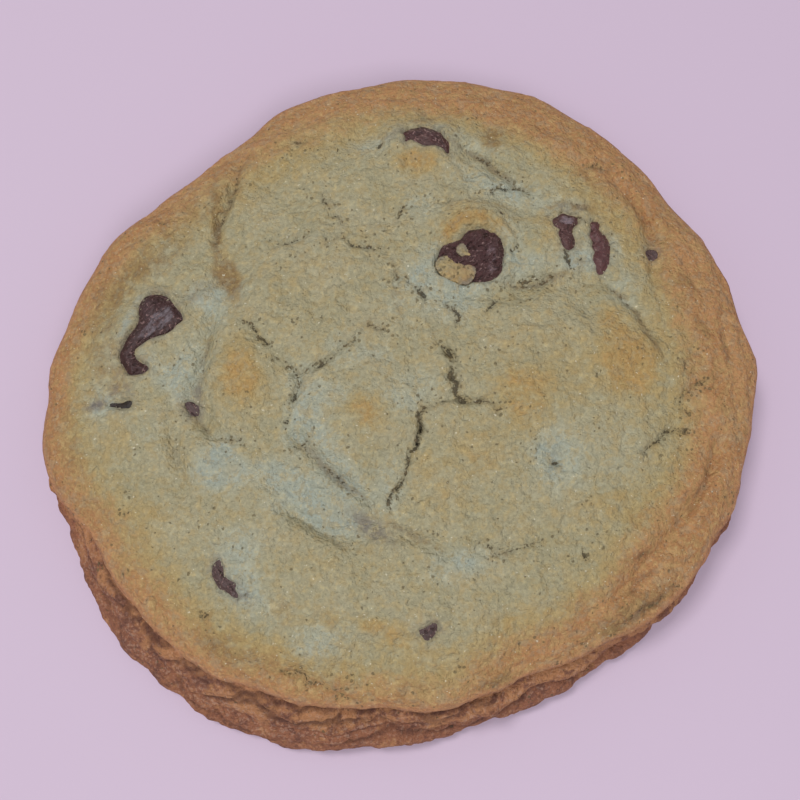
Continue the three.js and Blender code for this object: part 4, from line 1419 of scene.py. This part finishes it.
CHIPS = (
    Chip("left_chip", (
        (-38.4, 11), (-37.7, 12.1), (-36.2, 12.4), (-35, 12), (-33.9, 11), (-32.8, 9.6), (-31.9, 8.3),
        (-32.9, 7.5), (-33.6, 6.6), (-34.6, 6), (-35.6, 5.6), (-36.9, 5.2), (-37.9, 4.5), (-38.7, 3.9),
        (-38.5, 2.6), (-37.8, 1.9), (-36.7, 1.3), (-36.9, 0.7), (-37.8, 0.2), (-39.4, 0.2), (-40.5, 1.3),
        (-41, 2.8), (-40.7, 4.4), (-39.9, 5.9), (-38.9, 7.3), (-38.4, 9)), node="chip_left",
        look=ChipLook.SCUFFED, sunk=0.45, bulge=0.9, lip=0.25,
        worn=(Mound(-34.8, 8.6, 2.8, 1.6, 50, 0.85), Mound(-37.2, 6.2, 1.8, 0.7, 40, 0.7))),
    Chip("crown_chip", (
        (5.3, 16.4), (5.4, 17.4), (5.8, 18.5), (6.7, 19.5), (8.1, 20.3), (9, 20.5), (9.7, 21.5),
        (10.8, 21.9), (12.4, 21.8), (14, 21.3), (15, 20.2), (15.4, 18.9), (15.3, 17.3), (15.1, 15.9),
        (14.4, 14.6), (13.1, 14), (11.8, 13.9), (10.7, 13.8), (9.4, 13.4), (8.2, 13.7), (7, 14.2),
        (5.9, 15.2)), node="chip_crown", look=ChipLook.SHAGGY, smudge=0.1, sunk=0.6, bulge=1.15,
        rounding=1.6, lip=0.3, roughness=0.34, raggedness=0.14,
        worn=(Mound(13.6, 17.5, 1.1, 2.8, 10, 0.7), Mound(12, 15.2, 1.6, 0.6, 10, 0.3))),
    Chip("top_chip", (
        (0.4, 39.5), (1.7, 40.2), (3.2, 40.6), (4.7, 40.2), (6.2, 39.3), (7.3, 37.9), (7.7, 35.6),
        (6.5, 36.3), (5.4, 36.7), (3.9, 36.7), (2.8, 37.2), (1.6, 37.9), (0.9, 37.3), (0.7, 38.3)),
        node="chip_top", look=ChipLook.SCRATCHED, sunk=0.45, bulge=0.8,
        worn=(Mound(3.6, 38.7, 2.2, 1, -15, 0.6),)),
    Chip("right_inner_chip", (
        (23.2, 23.8), (24, 24.5), (24.9, 25.4), (26, 25.2), (27, 24.8), (26.9, 24), (26.1, 23.1),
        (25.8, 22.1), (26.1, 20.5), (25.9, 19.7), (25, 19.1), (24.3, 19.7), (24.1, 20.8), (23.8, 21.4),
        (24, 22.2), (23.3, 22.7)), node="chip_right_inner", look=ChipLook.GREY, smudge=0.3, sunk=0.35,
        bulge=0.5, rounding=0.8, worn=(Mound(25, 24.2, 2, 1.1, 0, 1.0),)),
    Chip("right_outer_chip", (
        (29, 23.9), (29.6, 24.4), (30.3, 24), (30.2, 23), (31.1, 22.1), (31.4, 20.6), (31.2, 18.5),
        (30.6, 16.6), (30, 15.6), (29.4, 15.8), (29.3, 16.5), (28.8, 17.8), (29.2, 18.9), (28.9, 19.9),
        (29.1, 21), (28.9, 22), (29.1, 22.9)), node="chip_right_outer", look=ChipLook.SMOOTH, smudge=0.3,
        sunk=0.35, bulge=0.8, rounding=0.8, worn=(Mound(29.6, 20.8, 0.8, 0.6, 60, 0.6),)),
    Chip("far_right_chip", ((37.6, 19.9), (38.5, 20.2), (38.9, 19.5), (38.7, 18.9), (38, 18.7),
        (37.7, 19.2)), node="chip_far_right", look=ChipLook.DUSTED, sunk=0.25, bulge=0.1, skirt=0.5),
    Chip("left_slit_chip", (
        (-42.1, -4.5), (-41.6, -4.1), (-40.3, -3.85), (-39, -3.8), (-38.7, -4.2), (-38.8, -4.8),
        (-39.6, -4.95), (-41, -4.9)), node="chip_left_slit", look=ChipLook.DARK, sunk=0.42, bulge=0.2,
        skirt=0.5, smudge=0.3),
    Chip("left_small_chip", (
        (-30.9, -4.4), (-30.5, -4.1), (-29.9, -4.3), (-29.4, -4.7), (-29.2, -5.3), (-29.4, -5.7),
        (-29.8, -5.6), (-30.2, -5.2), (-30.6, -4.9)), node="chip_left_small", look=ChipLook.DUSTED,
        sunk=0.35, bulge=0.2, skirt=0.5, smudge=0.9),
    Chip("lower_left_chip", (
        (-25.5, -27.4), (-25.1, -26.7), (-24.7, -27.3), (-24.4, -28.3), (-23.9, -29), (-23.2, -29.5),
        (-22.5, -29.8), (-22.8, -30.3), (-22.4, -30.9), (-21.9, -31.5), (-22.8, -31.4), (-23.8, -30.9),
        (-24.7, -30), (-25.3, -29.1), (-25.6, -28.3)), node="chip_lower_left", look=ChipLook.DUSTED,
        sunk=0.4, bulge=0.4, rounding=0.6, raggedness=0.12, worn=(Mound(-22, -31.6, 1.6, 0.8, -30, 0.8),)),
    Chip("low_chip", (
        (2.8, -36.1), (3.9, -35.6), (4.8, -35.1), (4.9, -36.1), (4.1, -37.2), (3.5, -37.2), (3.1, -36.6)),
        node="chip_low", look=ChipLook.DUSTED, sunk=0.35, bulge=0.3, rounding=0.6, skirt=0.6),
)

FLAKES = (
    Flake("large_flake", (
        (5.6, 16.7), (6.4, 17.3), (7.9, 17.4), (9.4, 17), (10.4, 16.1), (10.8, 15.2), (10.5, 14), (9.5, 13.5),
        (8.1, 13.8), (6.7, 14.5), (5.6, 15.6)), sunk=-0.1, bulge=0.6, rounding=0.8, skirt=0.4, thickness=0.9,
        roughness=0.06),
    Flake("thin_flake", (
        (8.5, 18.6), (9, 19.4), (9.6, 19), (10.1, 18.3), (11.9, 18), (11.5, 17.1), (10.3, 16.9), (9.3, 17.6)),
        sunk=-0.4, bulge=0.25, rounding=0.3, skirt=0.3, thickness=0.7, roughness=0.06),
)


@dataclass
class Surface:
    """The points of the cookie's top while they are shaped: how far each is raised, and its colour masks."""

    x: Points
    y: Points
    share: Points
    rise: Points
    masks: Masks

    def mark(self, name: str, values: Points, chosen: object = slice(None)) -> None:
        """Keeps the greater of a mask's value and a new value.

        Args:
            name: the mask's name.
            values: the new values.
            chosen: the points that they belong to.
        """
        self.masks[name][chosen] = np.maximum(self.masks[name][chosen], values)


@dataclass
class CookieBody:
    """The baked dough as one closed solid."""

    cells: int = 256
    wall_rows: int = 30
    bottom_rings: Sequence[float] = (0.985, 0.7)
    ceiling: float = 16.9
    ceiling_bend: float = 0.7
    mean_radius: float = 52.0
    grid_radius: float = 53.0
    # Length of a step, how far it strays, and the first seed
    crack_wander: tuple[float, float, int] = (0.5, 0.4, 50)
    crease_wander: tuple[float, float, int] = (0.9, 0.3, 150)
    seam_wander: tuple[float, float, int] = (1.2, 0.35, 250)
    # How far a groove's line, shade and crumbs reach, and where the crust puffs up beside a crease
    crack_reach: float = 0.8
    crack_shade: float = 1.3
    crumb_reach: float = 1.8
    crease_reach: float = 0.7
    crease_shade: float = 0.65
    puff_distance: float = 2.2
    puff_width: float = 1.2
    seam_reach: float = 0.8
    window_sink: float = 2.6
    window_start: float = 0.4
    window_slope: float = 1.7
    window_reach: float = 4.0
    lip_distance: float = 0.8
    lip_width: float = 0.7
    smudge_reach: float = 1.1
    nick_depth: float = 0.3
    nick_height: float = 0.14
    wrinkle_height: float = 0.2
    wrinkle_width: float = 1.3
    wrinkle_length: float = 7.0
    side_start: float = 0.07
    # Layers of relief: height, size, layers and seed
    top_relief: Sequence[tuple] = ((0.34, 5.5, 2, 3), (0.12, 1.8, 3, 7))
    wall_relief: Sequence[tuple] = ((0.26, 3.2, 2, 11), (0.16, 1.1, 3, 13))
    nick_relief: Sequence[tuple] = ((0.2, 2.6, 3, 61),)
    # Rings that the crust baked into over the largest chip
    ring_middle: tuple[float, float] = (11.2, 18.4)
    ring_radius: float = 5.25
    ring_spacing: float = 1.33
    ring_end: float = 21.0
    # Where the rim starts to brown and where it is fully brown, as shares of the radius, by even bearings
    rim_bearing: float = -12.0
    rim_step: float = 24.0
    rim_start: Sequence[float] = (
        0.68, 0.64, 0.69, 0.72, 0.74, 0.67, 0.69, 0.76, 0.81, 0.75, 0.77, 0.79, 0.77, 0.77, 0.67, 0.68, 0.64)
    rim_full: Sequence[float] = (
        0.86, 0.85, 0.90, 0.85, 0.88, 0.92, 0.96, 0.94, 0.96, 0.98, 0.98, 0.97, 1.0, 0.92, 0.85, 0.86, 0.85)
    mask_names: Sequence[str] = (
        "crack", "crease", "crumbly", "rim", "browned", "golden", "pale", "side", "dust", "seam", "smudge")

    def build(self) -> bpy.types.Object:
        """Models the cookie: a grid for its top, extruded down for its wall, and closed below.

        Returns:
            The closed piece.
        """
        select_none()
        bpy.ops.mesh.primitive_grid_add(x_subdivisions=self.cells, y_subdivisions=self.cells, size=2)
        piece = bpy.context.object
        piece.name = piece.data.name = "baked_cookie"
        in_edit_mode(piece, "EDGE")
        bpy.ops.mesh.select_non_manifold(extend=False)
        for _ in range(self.wall_rows):
            bpy.ops.mesh.extrude_edges_move(TRANSFORM_OT_translate={"value": (0, 0, -1)})
        bpy.ops.mesh.edge_face_add()
        bpy.ops.mesh.select_mode(type="FACE")
        for share in self.bottom_rings:
            bpy.ops.mesh.extrude_region_move()
            bpy.ops.transform.resize(value=(share, share, 1), center_override=(0, 0, -self.wall_rows))
        bpy.ops.object.mode_set(mode="OBJECT")
        self.sculpt(piece)
        face_outwards(piece)
        return piece

    def sculpt(self, piece: bpy.types.Object) -> None:
        """Moves every point of the flat pattern to its place on the cookie and stores the colour masks.

        Args:
            piece: the flat pattern: a square with rows of wall below it.
        """
        u, v, row = read_points(piece).T
        share, bearing = self.square_to_round(u, v)
        top = row > -0.5
        places = np.zeros((len(u), 3))
        masks = {name: np.zeros(len(u)) for name in self.mask_names}
        for chosen, (found, levels) in (
            (top, self.sculpt_top(share[top], bearing[top])),
            (~top, self.sculpt_wall(share[~top], bearing[~top], -row[~top])),
        ):
            places[chosen] = found
            for name, values in levels.items():
                masks[name][chosen] = values
        write_points(piece, places * MM)
        for name, values in masks.items():
            write_attribute(piece, name, values)

    @staticmethod
    def square_to_round(u: Points, v: Points) -> tuple[Points, Points]:
        """Even mapping of the square from -1 to 1 onto a disc.

        Args:
            u: first coordinates on the square.
            v: second coordinates on the square.

        Returns:
            The share of the way out, and the bearing in degrees.
        """
        wide = np.abs(u) >= np.abs(v)
        safe_u, safe_v = (np.where(np.abs(values) < 1e-9, 1e-9, values) for values in (u, v))
        across = 45 * v / safe_u + np.where(u < 0, 180, 0)
        upright = 90 - 45 * u / safe_v + np.where(v < 0, 180, 0)
        return np.where(wide, np.abs(u), np.abs(v)), np.where(wide, across, upright)

    def nick(self, bearing: Points) -> Points:
        """Small nicks of the crust's edge, in millimetres.

        Args:
            bearing: in degrees.

        Returns:
            The change of radius.
        """
        angle = np.radians(bearing)
        place = flat_points(self.mean_radius * np.cos(angle), self.mean_radius * np.sin(angle))
        return np.clip(relief_at(place, self.nick_relief), -self.nick_depth, self.nick_height)

    def sculpt_top(self, share: Points, bearing: Points) -> tuple[Points, Masks]:
        """The crust's top, with cracks, windows over the chips, wrinkles and grain.

        Args:
            share: the share of the way out.
            bearing: in degrees.

        Returns:
            The points in millimetres, and the colour masks.
        """
        angle = np.radians(bearing)
        radius = share * FORM.edge_radius(bearing) + self.nick(bearing) * smooth((share - 0.93) / 0.06)
        empty = {name: np.zeros(len(share)) for name in ("crack", "crease", "crumbly", "smudge")}
        top = Surface(radius * np.cos(angle), radius * np.sin(angle), share, np.zeros(len(share)), empty)
        self.open_cracks(top)
        self.press_creases(top)
        # Pits: sunk, with painted shade through the crack mask
        for pit in PITS:
            top.rise -= pit.rise * pit.spread(top.x, top.y)
            top.mark("crack", pit.spread(top.x, top.y))
        for chip in CHIPS:
            self.open_window(top, chip)
        for smear in SMEARS:
            top.mark("smudge", smear.rise * smear.spread(top.x, top.y))
        top.rise += relief_at(flat_points(top.x, top.y), self.top_relief)
        round_the_rim = self.mean_radius * angle / self.wrinkle_length
        wrinkles = lattice_noise(flat_points(radius / self.wrinkle_width, round_the_rim), 21)
        top.rise += self.wrinkle_height * smooth((share - 0.8) / 0.1) * wrinkles
        top.masks["rim"] = self.rim_browning(share, bearing)
        top.masks["side"] = self.side_start * smooth((share - 0.96) / 0.04)
        for name, patches in (("golden", GOLDEN), ("pale", PALE), ("browned", BROWNED)):
            spread = sum(patch.rise * patch.spread(top.x, top.y) for patch in patches)
            top.masks[name] = np.clip(spread, 0, 1)
        self.bake_rings(top)
        height = FORM.top_height(top.x, top.y) + smooth((1 - share) / 0.03) * top.rise
        calm = self.ceiling - self.ceiling_bend
        bent = calm + self.ceiling_bend * np.tanh((height - calm) / self.ceiling_bend)
        return np.column_stack([top.x, top.y, np.where(height > calm, bent, height)]), top.masks

    def open_cracks(self, top: Surface) -> None:
        """Opens the cracks, marks their painted shade, and moves the points beside each one onto it, so that
        it comes out sharp.

        Args:
            top: the cookie's top.
        """
        snap_reach = self.grid_radius / self.cells
        step, stray, seed = self.crack_wander
        for number, groove in enumerate(CRACKS):
            route = wandering_route(groove.route, step, stray, seed + number)
            near = nearest_on_route(route, top.x, top.y)
            snap = (near.distance < snap_reach) & ~near.beyond & (top.share < 0.98)
            top.x, top.y = np.where(snap, near.x, top.x), np.where(snap, near.y, top.y)
            distance = np.where(snap, 0, near.distance)
            taper = 0.55 + 0.45 * np.sin(np.pi * near.share)
            top.rise -= groove.depth * taper * bell(distance, groove.width)
            line = np.clip(1 - distance / self.crack_reach, 0, 1)
            # Painted shade in the crack, and a wider painted shade beside it
            top.mark("crack", groove.dark * (0.4 + 0.6 * taper) * line)
            top.mark("crease", 0.35 * groove.dark * bell(distance, self.crack_shade))
            top.mark("crumbly", groove.dark * bell(distance, self.crumb_reach))

    def press_creases(self, top: Surface) -> None:
        """Presses the creases in, paints shade along them, and lets the crust puff up a little beside them.

        Args:
            top: the cookie's top.
        """
        step, stray, seed = self.crease_wander
        for number, groove in enumerate(CREASES):
            route = wandering_route(groove.route, step, stray, seed + number)
            near = nearest_on_route(route, top.x, top.y)
            taper = 0.35 + 0.65 * np.sin(np.pi * near.share)
            top.rise -= 0.8 * groove.depth * taper * bell(near.distance, 0.75 * groove.width)
            puff = bell(near.distance - self.puff_distance, self.puff_width)
            top.rise += 0.3 * groove.depth * taper * puff
            line = np.clip(1 - near.distance / self.crease_reach, 0, 1)
            # Painted shade along the crease, and a thin line of painted shade in it
            top.mark("crease", groove.dark * taper * bell(near.distance, self.crease_shade))
            top.mark("crack", 0.84 * groove.dark * taper * line)

    def open_window(self, top: Surface, chip: Chip) -> None:
        """Sinks the crust under a chip, with a small lip round it.

        Args:
            top: the cookie's top.
            chip: the chip that shows there.
        """
        low, high = chip.reach()
        low, high = low - self.window_reach, high + self.window_reach
        close = (top.x > low[0]) & (top.x < high[0]) & (top.y > low[1]) & (top.y < high[1])
        depth = inside_distance(chip.outline, top.x[close], top.y[close])
        top.rise[close] -= self.window_sink * np.clip((depth + self.window_start) / self.window_slope, 0, 1)
        top.rise[close] += chip.lip * bell(depth + self.lip_distance, self.lip_width)
        top.mark("smudge", chip.smudge * bell(np.minimum(depth, 0), self.smudge_reach), close)

    def bake_rings(self, top: Surface) -> None:
        """Raises the rings above the largest chip, and browns them.

        Args:
            top: the cookie's top.
        """
        middle_x, middle_y = self.ring_middle
        ring = np.hypot(top.x - middle_x, top.y - middle_y)
        above = smooth((top.y - middle_y + 0.1) / 2.5)
        arc = above * bell(ring - self.ring_radius - 0.95, 1.9)
        ridge = np.cos(2 * np.pi * (ring - self.ring_radius) / self.ring_spacing)
        top.rise += arc * (0.25 - 0.15 * ridge)
        top.mark("browned", 0.6 * arc * smooth(ridge))
        halo = bell(ring - self.ring_radius + 0.15, 1.6) * smooth((self.ring_end - top.x) / 5)
        top.mark("golden", 1.1 * above * halo)

    def rim_browning(self, share: Points, bearing: Points) -> Points:
        """How brown the rim is.

        Args:
            share: the share of the way out.
            bearing: in degrees.

        Returns:
            From 0 where it isn't to 1 where it is fully brown.
        """
        bearings = self.rim_bearing + self.rim_step * np.arange(len(self.rim_start))
        turn = np.mod(bearing, 360)
        start, full = (
            step_curve(np.column_stack([bearings, rim]), turn) for rim in (self.rim_start, self.rim_full)
        )
        return np.clip((share - start) / (full - start), 0, 1)

    def sculpt_wall(self, share: Points, bearing: Points, row: Points) -> tuple[Points, Masks]:
        """The wall from under the crust's edge to the flat underside, in folded layers.

        Args:
            share: 1 on the wall, and less on the underside.
            bearing: in degrees.
            row: the row below the edge.

        Returns:
            The points in millimetres, and the colour masks.
        """
        last = len(FORM.wall_steps) - 1
        step = row / self.wall_rows * last
        angle, turn = np.radians(bearing), np.mod(bearing, 360)
        radius, height = FORM.wall_place(bearing, step)
        place = np.column_stack([radius * np.cos(angle), radius * np.sin(angle), height * 1.6])
        loose = smooth(step / 1.5) * (1 - smooth((step - last + 1.3) / 1.2))
        crag = relief_at(place, self.wall_relief)
        # Painted shade along the folds of the wall, darkest on each fold
        seam, nearest = np.zeros(len(row)), np.full(len(row), 9.0)
        length, stray, seed = self.seam_wander
        for number, groove in enumerate(WALL_SEAMS):
            route = [(degree * DEGREE_WIDTH, down * STEP_WIDTH) for degree, down in groove.route]
            route = wandering_route(route, length, stray, seed + number)
            distance = nearest_on_route(route, turn * DEGREE_WIDTH, step * STEP_WIDTH).distance
            crag -= groove.depth * bell(distance, groove.width)
            seam = np.maximum(seam, groove.dark * np.clip(1 - distance / self.seam_reach, 0, 1))
            nearest = np.minimum(nearest, distance)
        radius = radius + loose * (crag + 0.3 * smooth(nearest / 1.5))
        radius = share * (radius + self.nick(bearing) * (1 - smooth(step / 2.5)))
        masks = {
            "seam": seam * smooth(step),
            "side": self.side_start + (1 - self.side_start) * step / last,
            "dust": smooth(step_curve(FORM.foot_reach, turn) / 4) * bell(step - 4.5, 2.2),
            "rim": np.ones(len(row)),
        }
        return np.column_stack([radius * np.cos(angle), radius * np.sin(angle), height]), masks

    def dress(self, piece: bpy.types.Object) -> None:
        """Gives the cookie its crust and its place in the frame.

        Args:
            piece: the cookie.
        """
        piece.data.materials.append(CrustFinish().material("baked_crust"))
        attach(piece, "root")
        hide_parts("cookie")


@dataclass(frozen=True)
class Lamp:
    """A soft square light that looks at the cookie; its place and size are in metres."""

    name: str
    place: tuple[float, float, float]
    size: float
    power: float
    colour: tuple[float, float, float]

    def hang(self) -> None:
        """Hangs the light."""
        lamp = bpy.data.lights.new(self.name, "AREA")
        lamp.size, lamp.energy, lamp.color = self.size, self.power, self.colour
        holder = bpy.data.objects.new(self.name, lamp)
        holder.location = self.place
        holder.rotation_euler = (-Vector(self.place)).to_track_quat("-Z", "Y").to_euler()
        bpy.context.scene.collection.objects.link(holder)


@dataclass
class Studio:
    """The floor, the lights and the camera. The camera's tilt is in degrees and its place in millimetres."""

    floor_radius: float = 6.0
    lamps: Sequence[Lamp] = (
        Lamp("key", (-0.50, 0.32, 1.3), 0.4, 8.0, (1.0, 0.99, 0.97)),
        Lamp("fill", (0.15, -0.70, 0.95), 0.5, 5.0, (0.98, 0.98, 1.0)),
    )
    room_colour: tuple = (0.93, 0.92, 0.95, 1)
    room_light: float = 0.36
    focal_length: float = 40.5
    sensor_width: float = 36.0
    near_limit: float = 0.005
    tilt: float = 14.5
    lens_height: float = 138.6
    lens_back: float = 36.3

    def build(self) -> None:
        """Makes the whole studio."""
        self.lay_floor()
        for lamp in self.lamps:
            lamp.hang()
        self.light_room()
        self.place_camera()

    def lay_floor(self) -> None:
        """Makes the pale floor."""
        select_none()
        bpy.ops.mesh.primitive_circle_add(vertices=96, radius=self.floor_radius, fill_type="NGON")
        floor = bpy.context.object
        floor.name = "floor"
        floor.data.materials.append(FloorFinish().material("floor"))

    def light_room(self) -> None:
        """Sets the soft light that comes from all round."""
        world = bpy.data.worlds.new("soft_room")
        world.use_nodes = True
        background = world.node_tree.nodes["Background"]
        background.inputs["Color"].default_value = self.room_colour
        background.inputs["Strength"].default_value = self.room_light
        bpy.context.scene.world = world
        bpy.context.scene.view_settings.view_transform = "Standard"

    def place_camera(self) -> None:
        """Puts the camera above the cookie, tilted a little, as the photo was taken."""
        lens = bpy.data.cameras.new("camera")
        lens.lens, lens.sensor_width, lens.clip_start = self.focal_length, self.sensor_width, self.near_limit
        holder = bpy.data.objects.new("camera", lens)
        holder.location = (0, -self.lens_back * MM, self.lens_height * MM)
        holder.rotation_euler = (math.radians(self.tilt), 0, 0)
        bpy.context.scene.collection.objects.link(holder)
        bpy.context.scene.camera = holder


def main() -> None:
    """Builds every piece in order."""
    logging.basicConfig(level=logging.INFO, format="%(name)s: %(message)s")
    for part in (CookieBody(), *CHIPS, *FLAKES):
        piece = part.build()
        part.dress(piece)
        LOG.info("%s has %d faces", piece.name, len(piece.data.polygons))
    Studio().build()


if __name__ == "__main__":
    main()
